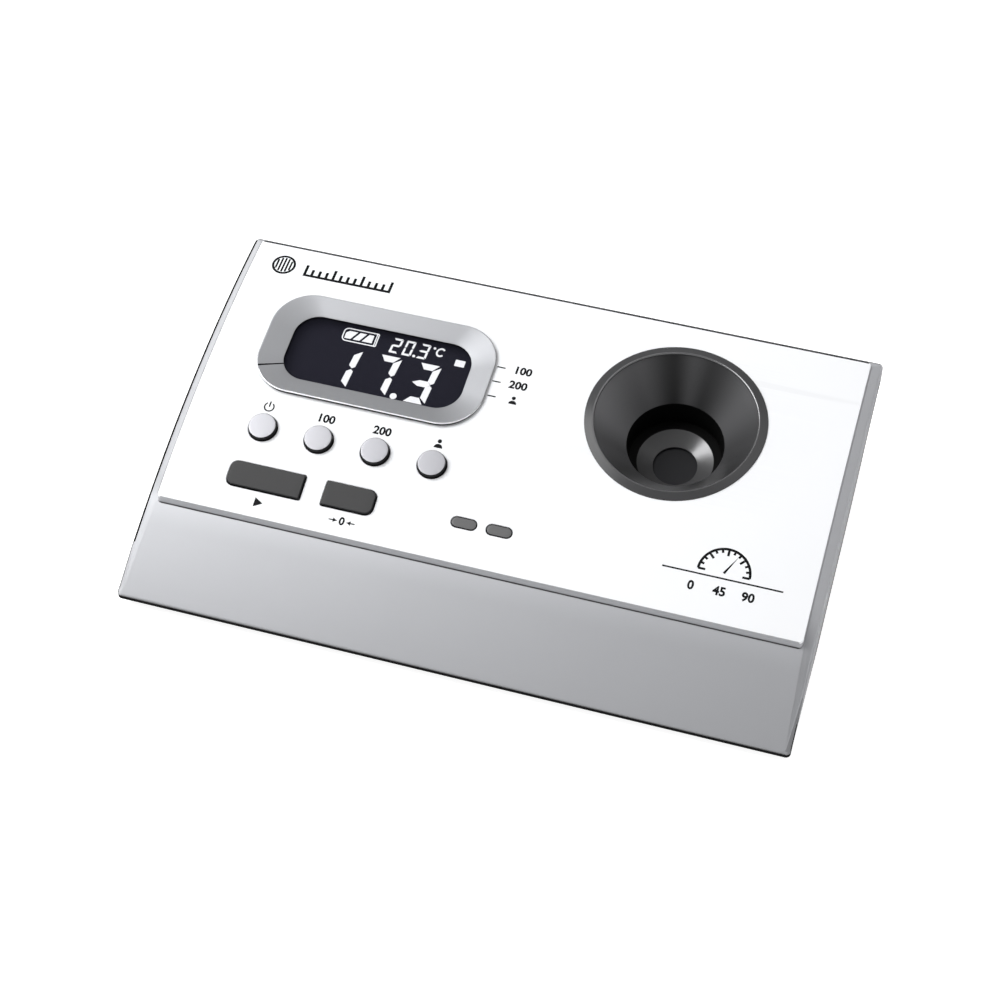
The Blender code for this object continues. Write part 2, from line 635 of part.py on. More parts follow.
# ---- Sample well and detector optics ----
def sample_well(black, clear):
    frame = top_frame(*WELL_CENTRE)
    bead = 0.8 * mm  # radius of the lip's outer edge
    lip = arc((WELL_LIP_RADIUS - bead, WELL_CREST - bead), bead, 0, 90, 3)
    outer_cone = BORE_RADIUS + WELL_WALL
    profile = [
        (WELL_BODY_RADIUS, -6 * mm),
        (WELL_BODY_RADIUS, -1.6 * mm),
        (WELL_LIP_RADIUS, -1.6 * mm),
        *lip,
        (CONE_TOP_RADIUS + 0.5 * mm, WELL_CREST - 0.2 * mm),
        (CONE_TOP_RADIUS, WELL_CREST - 0.8 * mm),
        (BORE_RADIUS, BORE_START),
        (BORE_RADIUS, BORE_END),
        (outer_cone, BORE_END),
        (outer_cone, BORE_START - 0.6 * mm),
        (CONE_TOP_RADIUS - 1.2 * mm, -6 * mm),
    ]
    funnel = add("well_funnel", turned(profile), black, frame)
    ring_outer = circle(WELL_LIP_RADIUS + 3 * mm, WELL_STEPS)
    ring_inner = circle(WELL_BODY_RADIUS, WELL_STEPS)
    under_lip = helper("under_lip", prism(ring_outer, -3 * mm, 3 * mm), frame)
    combine(under_lip, "DIFFERENCE", [helper("lip_core", prism(ring_inner, -4 * mm, 4 * mm), frame)])
    below = top_body(PAST_BACK, PAST_FASCIA_FRONT, PAST_SIDE, GAP, 0)
    combine(under_lip, "INTERSECT", [helper("below_lip", below)])
    combine(funnel, "DIFFERENCE", [under_lip])

    inner, outer = WELL_BODY_RADIUS + GAP, WELL_BODY_RADIUS + 2.8 * mm
    nut = [(inner, -6.4 * mm), (outer, -6.4 * mm), (outer, -4.4 * mm), (inner, -4.4 * mm)]
    add("well_retaining_ring", turned(nut), black, frame)

    recess = WELL_WINDOW_RADIUS + GAP
    cone = [
        (SEAT_RADII[0], SEAT_LEVEL),
        (APERTURE_RADIUS, APERTURE_LEVEL),
        (APERTURE_RADIUS, APERTURE_LEVEL - 0.3 * mm),
        (recess, APERTURE_LEVEL - 0.3 * mm),
        (recess, APERTURE_BOTTOM),
        (outer_cone, APERTURE_BOTTOM),
        (outer_cone, BORE_END - GAP),
        (SEAT_RADII[1], BORE_END - GAP),
        (SEAT_RADII[1], SEAT_LEVEL),
    ]
    aperture = add("aperture_cone", turned(cone), black, frame)
    low, high = APERTURE_BOTTOM, APERTURE_BOTTOM + 1.6 * mm
    ear_length = 9 * mm
    for side, word in ((-1, "front"), (1, "back")):
        middle = (0, side * (BRACKET_REACH - ear_length / 2))
        outline = rounded_box(BRACKET_BAR, ear_length, 2 * mm, steps=3, centre=middle)
        ear = helper(f"ear_{word}", prism(outline, low, high), frame)
        outline = circle(1.2 * mm, SMALL_STEPS, (0, side * BRACKET_SCREW_RADIUS))
        hole = helper(f"ear_hole_{word}", prism(outline, low - mm, high + mm), frame)
        combine(aperture, "UNION", [ear])
        combine(aperture, "DIFFERENCE", [hole])
    glass = prism(circle(WELL_WINDOW_RADIUS, ROUND_STEPS), APERTURE_BOTTOM, APERTURE_BOTTOM + 0.7 * mm)
    add("well_window", glass, clear, frame)


def optics(steel, brass, plastic, film, green, black):
    frame = top_frame(*WELL_CENTRE)
    low, high = BRACKET_LEVELS
    plate = add("optics_bracket", prism(circle(13.4 * mm, ROUND_STEPS), low, high), steel, frame)
    bar = prism(rounded_box(BRACKET_BAR, 2 * BRACKET_REACH, 2 * mm, steps=3), low, high)
    overhang = 6 * mm  # past the motor's shaft
    lug_centre = ((GEAR_CENTRES + overhang) / 2, 0)
    outline = rounded_box(GEAR_CENTRES + overhang, 10 * mm, 3 * mm, steps=3, centre=lug_centre)
    lug = prism(outline, low, high)
    combine(plate, "UNION", [helper("bracket_bar", bar, frame), helper("bracket_lug", lug, frame)])
    bore_inner, bore_outer = BEARING_RADII
    holes = [
        ("bracket_bore", bore_outer + GAP, (0, 0)),
        ("bracket_shaft_hole", 1.2 * mm, (GEAR_CENTRES, 0)),
    ]
    for side, word in ((-1, "front"), (1, "back")):
        place = (0, side * BRACKET_SCREW_RADIUS)
        holes.append((f"bracket_hole_{word}", 1.2 * mm, place))
        head = GEAR_LEVELS[1]
        profile = [
            (0, head - 0.8 * mm),
            (1.7 * mm, head - 0.8 * mm),
            (1.7 * mm, head),
            (0.9 * mm, head),
            (0.9 * mm, -21.5 * mm),
            (0, -21.5 * mm),
        ]
        spot = frame @ Matrix.Translation((*place, 0))
        add(f"bracket_screw_{word}", turned(profile, SMALL_STEPS), steel, spot)
    for name, radius, place in holes:
        hole = prism(circle(radius, ROUND_STEPS, place), low - mm, high + mm)
        combine(plate, "DIFFERENCE", [helper(name, hole, frame)])

    bearing = [(bore_inner, low), (bore_outer, low), (bore_outer, high), (bore_inner, high)]
    add("rotor_bearing", turned(bearing, ROUND_STEPS), brass, frame)

    gear = prism(gear_outline(ROTOR_TEETH), *GEAR_LEVELS)
    rotor = add("analyser_rotor", gear, plastic, frame)
    middle = sum(GEAR_LEVELS) / 2
    hub_radius, film_radius = bore_inner - 0.1 * mm, 4.2 * mm
    hub = prism(circle(hub_radius, ROUND_STEPS), middle, high - 0.1 * mm)
    bore = prism(circle(film_radius + GAP, ROUND_STEPS), -28 * mm, -20 * mm)
    combine(rotor, "UNION", [helper("rotor_hub", hub, frame)])
    combine(rotor, "DIFFERENCE", [helper("rotor_bore", bore, frame)])
    disc = prism(circle(film_radius, ROUND_STEPS), middle, middle + 0.4 * mm)
    add("analyser_polariser", disc, film, frame)

    beside = frame @ Matrix.Translation((GEAR_CENTRES, 0, 0))
    gap_towards_rotor = math.pi + math.pi / PINION_TEETH
    teeth = prism(gear_outline(PINION_TEETH, gap_towards_rotor), *GEAR_LEVELS)
    pinion = add("motor_pinion", teeth, brass, beside)
    shaft_radius, shaft_top = 0.8 * mm, -20.5 * mm
    shaft = prism(circle(shaft_radius, SMALL_STEPS), middle, shaft_top)
    combine(pinion, "UNION", [helper("pinion_shaft", shaft, beside)])
    bore, foot = shaft_radius + GAP, high + GAP
    radius, head, edge = 4.0 * mm, -12.2 * mm, 0.4 * mm
    body = [
        (bore, foot),
        (radius, foot),
        (radius, head - edge),
        (radius - edge, head),
        (0, head),
        (0, shaft_top + 0.5 * mm),
        (bore, shaft_top + 0.5 * mm),
    ]
    add("stepper_motor", turned(body, ROUND_STEPS), steel, beside)

    axis_foot = frame @ Vector((0, 0, -27.5 * mm))
    centre = Matrix.Translation((axis_foot.x, axis_foot.y, 0))
    bottom, top = FLOOR_TOP + GAP, FLOOR_TOP + GAP + mm
    board = prism(rounded_box(16 * mm, 12 * mm, mm, steps=2), bottom, top)
    add("detector_board", board, green, centre)
    diode = prism(circle(2.4 * mm, 16), top + GAP, top + GAP + 0.6 * mm)
    add("photodiode", diode, black, centre)
    sensor_radius = 1.2 * mm
    beside_bore = -(BORE_RADIUS + WELL_WALL + GAP + sensor_radius)
    sensor = prism(circle(sensor_radius, SMALL_STEPS), -18 * mm, -13 * mm)
    add("temperature_sensor", sensor, black, frame @ Matrix.Translation((beside_bore, 0, 0)))


# ---- Battery bay ----
def batteries(sleeve, metal, dark):
    (left, front), (right, back) = BAY
    middle_x, middle_y = (left + right) / 2, (front + back) / 2
    low = DOOR_SLIDE[1] + GAP
    spread = 5.6 * mm  # of each cell from the middle of the bay
    lying = Matrix.Rotation(math.pi / 2, 4, "Y")
    half = CELL_LENGTH / 2
    profile = [
        (0, -half),
        (CELL_RADIUS - 0.5 * mm, -half),
        (CELL_RADIUS, -half + 0.5 * mm),
        (CELL_RADIUS, half - 1.6 * mm),
        (CELL_RADIUS - 0.6 * mm, half - mm),
        (1.9 * mm, half - mm),
        (1.9 * mm, half),
        (0, half),
    ]
    for side, word in ((-1, "front"), (1, "back")):
        place = Matrix.Translation((middle_x, middle_y + side * spread, low + CELL_RADIUS))
        turn = Matrix.Rotation(math.pi, 4, "Z") if side > 0 else Matrix()
        add(f"battery_{word}", turned(profile, 16), sleeve, place @ turn @ lying)

    thickness, height = 0.5 * mm, 11 * mm
    outer = right - GAP
    bridge = box((outer - thickness, front + mm, low), (outer, back - mm, low + height))
    add("battery_bridge", bridge, metal)
    outer, half_plate = left + GAP, 4 * mm
    for name, side in (("battery_front_contact", -1), ("battery_back_contact", 1)):
        y = middle_y + side * spread
        corners = (outer, y - half_plate, low), (outer + thickness, y + half_plate, low + height)
        add(name, box(*corners), metal)

    door_front, door_top = front - 0.5 * mm, DOOR_SLIDE[1] - GAP
    door = box((left + GAP, door_front, FLOOR_BOTTOM), (right - GAP, DOOR_BACK, door_top))
    cover = add("battery_door", door, dark)
    tongue = box(
        (left - mm + GAP, door_front, DOOR_SLIDE[0] + GAP),
        (right + mm - GAP, DOOR_BACK - 0.2 * mm, door_top),
    )
    combine(cover, "UNION", [helper("door_tongues", tongue)])
    grip, depth = 9 * mm, 0.4 * mm
    for i in range(4):
        y = back + (8 + 2 * i) * mm
        groove = box((middle_x - grip, y, 0), (middle_x + grip, y + mm, FLOOR_BOTTOM + depth))
        combine(cover, "DIFFERENCE", [helper(f"grip_{i}", groove)])


def main():
    for obj in list(bpy.data.objects):
        bpy.data.objects.remove(obj)

    silver = material("silver_paint", (0.60, 0.61, 0.64), 0.35, 0.6)
    white = material("white_panel", (0.92, 0.93, 0.95), 0.35)
    black = material("black_plastic", (0.05, 0.05, 0.055), 0.45)
    bezel = material("satin_metal", (0.62, 0.63, 0.65), 0.28, 0.9)
    clear = material("clear_lens", (0.10, 0.10, 0.13), 0.05, alpha=0.4)
    dark = material("display_dark", (0.03, 0.03, 0.05), 0.3)
    glow = material("light_guide", (0.85, 0.88, 0.9), 0.4)
    button = material("button_silver", (0.80, 0.80, 0.84), 0.3, 0.3)
    key = material("key_grey", (0.08, 0.08, 0.085), 0.5)
    lamp = material("lamp_grey", (0.17, 0.17, 0.175), 0.35)
    green = material("circuit_green", (0.03, 0.18, 0.08), 0.5)
    steel = material("steel", (0.62, 0.62, 0.63), 0.3, 1.0)
    brass = material("brass", (0.72, 0.55, 0.25), 0.3, 1.0)
    gear = material("gear_white", (0.85, 0.84, 0.80), 0.5)
    film = material("polariser_film", (0.12, 0.13, 0.16), 0.1)
    rubber = material("rubber", (0.03, 0.03, 0.03), 0.8)
    cell = material("battery_sleeve", (0.18, 0.20, 0.23), 0.35)

    openings = panel_openings()
    case = upper_case(silver, openings)
    board_posts(case)
    fascia_plate(white, openings)
    lower_case(black)
    feet_and_screws(rubber, steel)
    display(bezel, clear, dark, glow)
    round_buttons(button)
    long_keys(key)
    lamps(lamp, glow)
    main_board(green, black, steel)
    switches(black)
    sample_well(black, clear)
    optics(steel, brass, gear, film, green, black)
    batteries(cell, steel, black)


main()
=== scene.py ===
"""The looks of the portable polarimeter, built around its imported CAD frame.

Metres, +Z up, front towards -Y. "Across" is X and "along" is the distance down the top face from the panel's back
edge. Every piece is made in world coordinates, so that its texture keeps the same scale as its neighbours'.
"""

import math

import bmesh
import bpy
from mathutils import Matrix, Vector


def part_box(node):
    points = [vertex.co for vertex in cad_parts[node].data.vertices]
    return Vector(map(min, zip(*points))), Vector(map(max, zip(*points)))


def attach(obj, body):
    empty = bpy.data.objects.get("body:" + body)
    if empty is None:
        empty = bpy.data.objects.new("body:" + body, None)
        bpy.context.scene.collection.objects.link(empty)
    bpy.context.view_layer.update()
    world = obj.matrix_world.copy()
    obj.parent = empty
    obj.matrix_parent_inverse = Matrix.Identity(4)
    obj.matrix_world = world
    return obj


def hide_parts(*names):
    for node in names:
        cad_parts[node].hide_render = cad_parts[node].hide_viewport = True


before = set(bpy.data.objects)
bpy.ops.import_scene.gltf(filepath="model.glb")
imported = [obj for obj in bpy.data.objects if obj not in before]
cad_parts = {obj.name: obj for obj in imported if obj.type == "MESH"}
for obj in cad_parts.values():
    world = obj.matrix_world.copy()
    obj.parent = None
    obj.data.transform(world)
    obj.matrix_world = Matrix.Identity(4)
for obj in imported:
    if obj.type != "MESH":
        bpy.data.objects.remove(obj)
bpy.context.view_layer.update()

mm = 0.001
GAP = 0.3 * mm
CASE_LOW, CASE_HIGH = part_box("upper_case")
HALF_WIDTH, HALF_DEPTH = CASE_HIGH.x, CASE_HIGH.y

# ---- The top face: part of a cylinder about X ----
TOP_RADIUS = 268.9 * mm
TOP_AXIS_Y = 74.14 * mm
TOP_AXIS_Z = -231.2 * mm
BACK_SLOPE = math.radians(5.29)

STEP = 2.5 * mm
PANEL_HALF_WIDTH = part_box("fascia_plate")[1].x
PANEL_BACK, PANEL_FRONT = 0.3 * mm, 81.1 * mm
PANEL_THICKNESS = 0.6 * mm
PANEL_CORNER = 1.1 * mm
PLATEAU_RIM = 0.05 * mm
PLATEAU_TOP = -PANEL_THICKNESS - 0.02 * mm
STRIP_RISE = 1.85 * mm  # how much higher than their outer edge the strips beside the panel are
FRONT_RISE = 0.7 * mm
SHELL_UNDERSIDE = -2.9 * mm
CASE_CORNER = 1.2 * mm
CASE_WALL = 2.0 * mm

DISPLAY_CENTRE = (-39.65 * mm, 31.05 * mm)
BEZEL_SIZE = (60.5 * mm, 30.7 * mm, 10.6 * mm)
WINDOW_SIZE = (47.9 * mm, 20.0 * mm, 6.5 * mm)
LENS_SIZE = (51.0 * mm, 23.0 * mm, 7.0 * mm)
SKIRT_INSET = 1.3 * mm
LCD_TOP = -3.6 * mm

BUTTONS = ("power_button", "tube_100_button", "tube_200_button", "user_button")
BUTTON_FIRST, BUTTON_PITCH, BUTTON_ALONG = -61.5 * mm, 14.93 * mm, 57.2 * mm
BUTTON_RADIUS = 3.55 * mm
BUTTON_TOP = 1.35 * mm
KEYS = {"start_key": (-56.25 * mm, 19.4 * mm, "left"), "zero_key": (-34.2 * mm, 13.0 * mm, "right")}
KEY_ALONG, KEY_DEPTH, KEY_TOP, KEY_CORNER = 70.75 * mm, 6.4 * mm, 0.9 * mm, 1.8 * mm
CAP_CLEARANCE, CAP_FLANGE = 0.3 * mm, 0.9 * mm
KEY_CLEARANCE = 0.32 * mm
LAMP_ACROSS, LAMP_ALONG, LAMP_SIZE = 4.5 * mm, 70.5 * mm, (6.4 * mm, 2.7 * mm)
LAMP_GAP = 0.2 * mm

WELL_CENTRE = (38.8 * mm, 30.4 * mm)
WELL_BODY_RADIUS = 21.6 * mm
BORE_RADIUS = 12.4 * mm
WELL_STEPS = 128


def slope_at(along):
    return BACK_SLOPE + along / TOP_RADIUS


def on_top(across, along, lift=0.0):
    """The point at this place on the top face, lifted straight out of it."""
    slope, radius = slope_at(along), TOP_RADIUS + lift
    return Vector((across, TOP_AXIS_Y - radius * math.sin(slope), TOP_AXIS_Z + radius * math.cos(slope)))


def top_frame(across, along):
    return Matrix.Translation(on_top(across, along)) @ Matrix.Rotation(slope_at(along), 4, "X")


def y_on_top(along):
    return on_top(0, along).y


def height_at(y, level=0.0):
    return TOP_AXIS_Z + math.sqrt((TOP_RADIUS + level) ** 2 - (TOP_AXIS_Y - y) ** 2)


def smooth_step(x):
    x = min(1.0, max(0.0, x))
    return x * x * (3 - 2 * x)


# ---- Outlines ----
def arc(centre, radius, angles):
    """Points on an arc, at angles in degrees."""
    return [
        (centre[0] + radius * math.cos(math.radians(a)), centre[1] + radius * math.sin(math.radians(a)))
        for a in angles
    ]


def spread(start, end, steps):
    return [start + (end - start) * i / steps for i in range(steps + 1)]


def circle(radius, steps=64, centre=(0, 0)):
    return arc(centre, radius, spread(0, 360, steps)[:-1])


def rounded_box(width, depth, corners, steps=10, extra=None):
    """A rectangle with rounded corners, from the back right corner turning left. extra adds angles to a corner."""
    radii = corners if isinstance(corners, tuple) else (corners,) * 4
    points = []
    for turn, ((sx, sy), radius) in enumerate(zip(((1, 1), (-1, 1), (-1, -1), (1, -1)), radii)):
        centre = (sx * (width / 2 - radius), sy * (depth / 2 - radius))
        angles = spread(90 * turn, 90 * turn + 90, steps)
        if extra and turn in extra:
            angles = sorted(angles + list(extra[turn]))
        points += arc(centre, radius, angles)
    return points


FRONT_STEPS, SIDE_STEPS, BEND_STEPS = 24, 72, 6


def plan_outline(low_y, high_y, half_width, corner):
    """A rounded rectangle seen from above, from the front left corner turning right. Point k mirrors point
    FRONT_STEPS - k, which the ladder of faces across the top uses."""
    right, low, high = half_width - corner, low_y + corner, high_y - corner
    points = [(x, low_y) for x in spread(-right, right, FRONT_STEPS)]
    points += arc((right, low), corner, spread(-90, 0, BEND_STEPS)[1:])
    points += [(half_width, y) for y in spread(low, high, SIDE_STEPS)[1:]]
    points += arc((right, high), corner, spread(0, 90, BEND_STEPS)[1:])
    points += [(x, high_y) for x in spread(right, -right, FRONT_STEPS)[1:]]
    points += arc((-right, high), corner, spread(90, 180, BEND_STEPS)[1:])
    points += [(-half_width, y) for y in spread(high, low, SIDE_STEPS)[1:]]
    return points + arc((-right, low), corner, spread(180, 270, BEND_STEPS)[1:-1])


def rounding(radius, angles):
    """How far in and how far down each step of a quarter-round edge lies."""
    turns = [math.radians(a) for a in angles]
    return [(radius * (1 - math.cos(turn)), radius * (1 - math.sin(turn))) for turn in turns]


# ---- Meshes ----
def bridge(bm, low, high):
    for i in range(len(low)):
        j = (i + 1) % len(low)
        bm.faces.new((low[i], low[j], high[j], high[i]))


def lofted(loops, ring=False, caps="flat"):
    """A closed skin through loops of equal count. A ring joins the last loop to the first. Caps are flat, or ladders
    of faces across X for the loops of plan_outline."""
    bm = bmesh.new()
    made = [[bm.verts.new(point) for point in loop] for loop in loops]
    for low, high in zip(made, made[1:]):
        bridge(bm, low, high)
    if ring:
        bridge(bm, made[-1], made[0])
    elif caps == "flat":
        bm.faces.new(reversed(made[0]))
        bm.faces.new(made[-1])
    else:
        for loop in (made[0], made[-1]):
            ladder(bm, loop)
    bmesh.ops.recalc_face_normals(bm, faces=bm.faces)
    return bm


def ladder(bm, loop):
    """Closes a loop of plan_outline with faces that run straight across it."""
    count = len(loop)
    last = count // 2
    bm.faces.new(loop[: FRONT_STEPS + 2] + [loop[count - 1]])
    for k in range(FRONT_STEPS + 1, last - 1):
        mirror = (FRONT_STEPS - k) % count
        bm.faces.new((loop[k], loop[k + 1], loop[mirror - 1], loop[mirror]))
    bm.faces.new(loop[last - 1 : last + FRONT_STEPS + 2])


def at_level(outline, level):
    """Outline points put on the cylinder at this level."""
    return [(x, y, height_at(y, level)) for x, y in outline]


def flat_at(outline, z):
    return [(x, y, z) for x, y in outline]


def stacked(levels, ring=False):
    """A closed skin through flat outlines, each with its height."""
    return lofted([flat_at(outline, z) for outline, z in levels], ring)


def prism(outline, low, high):
    return stacked([(outline, low), (outline, high)])


def box(low, high):
    corners = [(low[0], low[1]), (high[0], low[1]), (high[0], high[1]), (low[0], high[1])]
    return prism(corners, low[2], high[2])


def turned(profile, steps=64):
    """A solid turned about Z from a closed profile of (radius, z)."""
    bm = bmesh.new()
    verts = [bm.verts.new((r, 0, z)) for r, z in profile]
    pairs = zip(verts, verts[1:] + verts[:1])
    edges = [bm.edges.new(pair) for pair in pairs if max(v.co.x for v in pair) > 0]
    spin = {"cent": (0, 0, 0), "axis": (0, 0, 1), "angle": 2 * math.pi, "steps": steps}
    bmesh.ops.spin(bm, geom=verts + edges, **spin)
    bmesh.ops.remove_doubles(bm, verts=bm.verts, dist=1e-6)
    bmesh.ops.recalc_face_normals(bm, faces=bm.faces)
    return bm


def moved(bm, matrix):
    bmesh.ops.transform(bm, matrix=matrix, verts=bm.verts)
    return bm


def wrapped(bm, across, along):
    """Bends a flat shape, drawn with Y up the slope, onto the top face."""
    for vert in bm.verts:
        x, y, z = vert.co
        vert.co = on_top(across + x, along - y, z)
    return bm


def joined(shapes):
    """Several bmeshes as one."""
    whole = bmesh.new()
    for shape in shapes:
        mesh = bpy.data.meshes.new("shape")
        shape.to_mesh(mesh)
        shape.free()
        whole.from_mesh(mesh)
        bpy.data.meshes.remove(mesh)
    return whole


def add_object(name, data):
    obj = bpy.data.objects.new(name, data)
    bpy.context.scene.collection.objects.link(obj)
    return obj


def new_object(name, bm, place=None):
    """A mesh object from a bmesh, which is moved to its place first."""
    if place:
        bmesh.ops.transform(bm, matrix=place, verts=bm.verts)
    mesh = bpy.data.meshes.new(name)
    bm.to_mesh(mesh)
    bm.free()
    return add_object(name, mesh)


def settle(obj):
    """Turns an object's modifiers into its mesh."""
    evaluated = obj.evaluated_get(bpy.context.evaluated_depsgraph_get())
    mesh = bpy.data.meshes.new_from_object(evaluated)
    obj.modifiers.clear()
    obj.data = mesh


def combine(obj, operation, shapes):
    """Cuts, joins or intersects an object with bmeshes."""
    cutters = [new_object(f"cutter_{i}", shape) for i, shape in enumerate(shapes)]
    for cutter in cutters:
        modifier = obj.modifiers.new("cut", "BOOLEAN")
        modifier.operation, modifier.object, modifier.solver = operation, cutter, "EXACT"
    settle(obj)
    for cutter in cutters:
        bpy.data.objects.remove(cutter)


def follow_cylinder(obj, closeness):
    """Gives the faces that lie along the top's cylinder its exact normals, so that no facet shows."""
    mesh = obj.data
    normals = [corner.vector.copy() for corner in mesh.corner_normals]
    for face in mesh.polygons:
        for corner in face.loop_indices:
            _, y, z = mesh.vertices[mesh.loops[corner].vertex_index].co
            exact = Vector((0, y - TOP_AXIS_Y, z - TOP_AXIS_Z)).normalized()
            if face.normal.dot(exact) > closeness:
                normals[corner] = exact
    mesh.normals_split_custom_set(normals)


def dress(obj, materials, body, replaces=(), sharp=35, cylinder=0.0):
    """The material, shading and place in the frame of a finished piece."""
    indices = [face.material_index for face in obj.data.polygons]
    obj.data.materials.clear()
    for made in materials if isinstance(materials, (list, tuple)) else [materials]:
        obj.data.materials.append(made)
    obj.data.polygons.foreach_set("material_index", indices)
    obj.data.shade_smooth()
    obj.data.set_sharp_from_angle(angle=math.radians(sharp))
    if cylinder:
        follow_cylinder(obj, cylinder)
    else:
        weighted = obj.modifiers.new("weighted_normals", "WEIGHTED_NORMAL")
        weighted.keep_sharp, weighted.weight = True, 100
    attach(obj, body)
    if replaces:
        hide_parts(*replaces)
    return obj


# ---- Materials ----
def add_node(tree, kind, inputs=(), **settings):
    """A shader node. Each of its inputs takes a number or a colour, or the output that feeds it."""
    node = tree.nodes.new(f"ShaderNode{kind}")
    for name, value in settings.items():
        setattr(node, name, value)
    for name, value in dict(inputs).items():
        if isinstance(value, bpy.types.NodeSocket):
            tree.links.new(value, node.inputs[name])
        else:
            node.inputs[name].default_value = value
    return node


def surface(
    name,
    colour,
    roughness,
    metallic=0.0,
    tint=0.05,
    tint_size=20 * mm,
    grain_size=0.35 * mm,
    grain_depth=0.01 * mm,
    rough_spread=0.06,
    stretch=(1, 1, 1),
    cells=False,
    wear=0.0,
    shine=0.5,
    **sockets,
):
    """A Principled material with slow colour changes, a fine grain in its relief and its roughness, and edges
    that have gone lighter (wear above 0) or gathered dirt (below 0)."""
    made = bpy.data.materials.new(name)
    made.use_nodes = True
    tree = made.node_tree
    shader = tree.nodes["Principled BSDF"]
    shader.inputs["Metallic"].default_value = metallic
    shader.inputs["Specular IOR Level"].default_value = shine
    for socket, value in sockets.items():
        shader.inputs[socket.replace("_", " ")].default_value = value

    place = add_node(tree, "TexCoord").outputs["Object"]
    clouds = add_node(tree, "TexNoise", {"Scale": 1 / tint_size, "Detail": 3, "Vector": place})
    darker, lighter = [(*[min(1, c * gain) for c in colour], 1) for gain in (1 - tint, 1 + tint)]
    mixed = {"A": darker, "B": lighter, "Factor": clouds.outputs["Fac"]}
    base = add_node(tree, "Mix", mixed, data_type="RGBA").outputs["Result"]
    if wear:
        base = worn(tree, base, colour, wear)
    tree.links.new(base, shader.inputs["Base Color"])

    scaled = add_node(tree, "Mapping", {"Scale": stretch, "Vector": place})
    pattern = {"Scale": 1 / grain_size, "Vector": scaled.outputs["Vector"]}
    if cells:
        height = add_node(tree, "TexVoronoi", pattern).outputs["Distance"]
    else:
        height = add_node(tree, "TexNoise", {"Detail": 4, **pattern}).outputs["Fac"]
    limits = {"To Min": roughness - rough_spread, "To Max": roughness + rough_spread}
    uneven = add_node(tree, "MapRange", {"Value": height, **limits})
    tree.links.new(uneven.outputs["Result"], shader.inputs["Roughness"])
    bump = add_node(tree, "Bump", {"Distance": grain_depth, "Strength": 0.6, "Height": height})
    tree.links.new(bump.outputs["Normal"], shader.inputs["Normal"])
    return made


def worn(tree, base, colour, wear):
    """The base colour, changed a little where the shape is convex and sharp."""
    point = add_node(tree, "NewGeometry").outputs["Pointiness"]
    edge = add_node(tree, "MapRange", {"From Min": 0.53, "From Max": 0.62, "To Max": abs(wear), "Value": point})
    target = 1.0 if wear > 0 else 0.0
    changed = (*[c + (target - c) * 0.5 for c in colour], 1)
    mixed = {"A": base, "B": changed, "Factor": edge.outputs["Result"]}
    return add_node(tree, "Mix", mixed, data_type="RGBA").outputs["Result"]


def glass(name, colour, alpha, roughness=0.03):
    """A thin dark window: what lies behind shows through."""
    clear = {"Alpha": alpha, "shine": 0.06}
    return surface(name, colour, roughness, tint=0.02, grain_depth=0.0005 * mm, rough_spread=0.01, **clear)


SMOOTH = {"tint": 0.02, "grain_depth": 0.0015 * mm}
FINE = {"grain_size": 0.1 * mm, "grain_depth": 0.001 * mm}
DULL = {"tint": 0.1, "grain_depth": 0.002 * mm}

SILVER = surface(
    "silver_paint", (0.36, 0.365, 0.382), 0.48, 0.4, grain_size=0.12 * mm, rough_spread=0.05, wear=0.25, **SMOOTH
)
# Near black, for the walls below the silver and for the painted shade line along the left and back edges.
DARK_WALL_AND_EDGE_SHADE = surface("dark_wall_and_edge_shade", (0.006, 0.006, 0.0065), 0.7, grain_depth=0.0015 * mm, shine=0.04)
# A darker copy of the silver for the right side and its facet: painted shade.
SHADED_SILVER_SIDE = surface("silver_side_painted_shade", (0.26, 0.263, 0.274), 0.55, 0.4, **SMOOTH)
WHITE = surface(
    "white_panel", (0.90, 0.91, 0.93), 0.5, tint=0.006, grain_size=0.2 * mm, grain_depth=0.001 * mm, wear=-0.1
)
BLACK = surface("black_plastic", (0.005, 0.005, 0.0054), 0.7, tint=0.1, cells=True, shine=0.04)
METAL = surface("satin_metal", (0.325, 0.33, 0.345), 0.5, 0.65, tint=0.015, rough_spread=0.04, wear=0.3, **FINE)
# A light metal for the highlight painted along the front of the bezel's outer edge.
EDGE_HIGHLIGHT = surface("bezel_edge_painted_highlight", (0.85, 0.85, 0.88), 0.3, 0.3, tint=0.02, grain_depth=0.0005 * mm)
LENS = glass("clear_lens", (0.02, 0.02, 0.03), 0.3)
WELL_GLASS = glass("well_glass", (0.036, 0.036, 0.039), 0.92, 0.3)
LCD = surface(
    "display_dark", (0.026, 0.026, 0.04), 0.4, tint=0.08, grain_size=0.4 * mm, grain_depth=0.0002 * mm, shine=0.05
)
SHADE = surface("shade", (0.008, 0.008, 0.009), 0.7, shine=0.1, **DULL)
GLOW = surface("light_guide", (0.85, 0.88, 0.90), 0.4, tint=0.03)
FIGURES = surface(
    "figures", (0.92, 0.93, 0.95), 0.4, tint=0.03, tint_size=9 * mm, Emission_Color=(0.96, 0.97, 1.0, 1),
    Emission_Strength=1.5,
)
CAP = surface("button_silver", (0.375, 0.375, 0.40), 0.42, 0.45, tint=0.02, wear=0.2, **FINE)
CAP_SIDE = surface("button_side", (0.008, 0.008, 0.009), 0.5, shine=0.15, **DULL)
KEY = surface(
    "key_grey", (0.052, 0.052, 0.053), 0.6, tint=0.06, grain_size=0.22 * mm, grain_depth=0.006 * mm, cells=True,
    shine=0.2,
)
KEY_SIDE = surface("key_side", (0.01, 0.01, 0.011), 0.55, shine=0.2, **DULL)
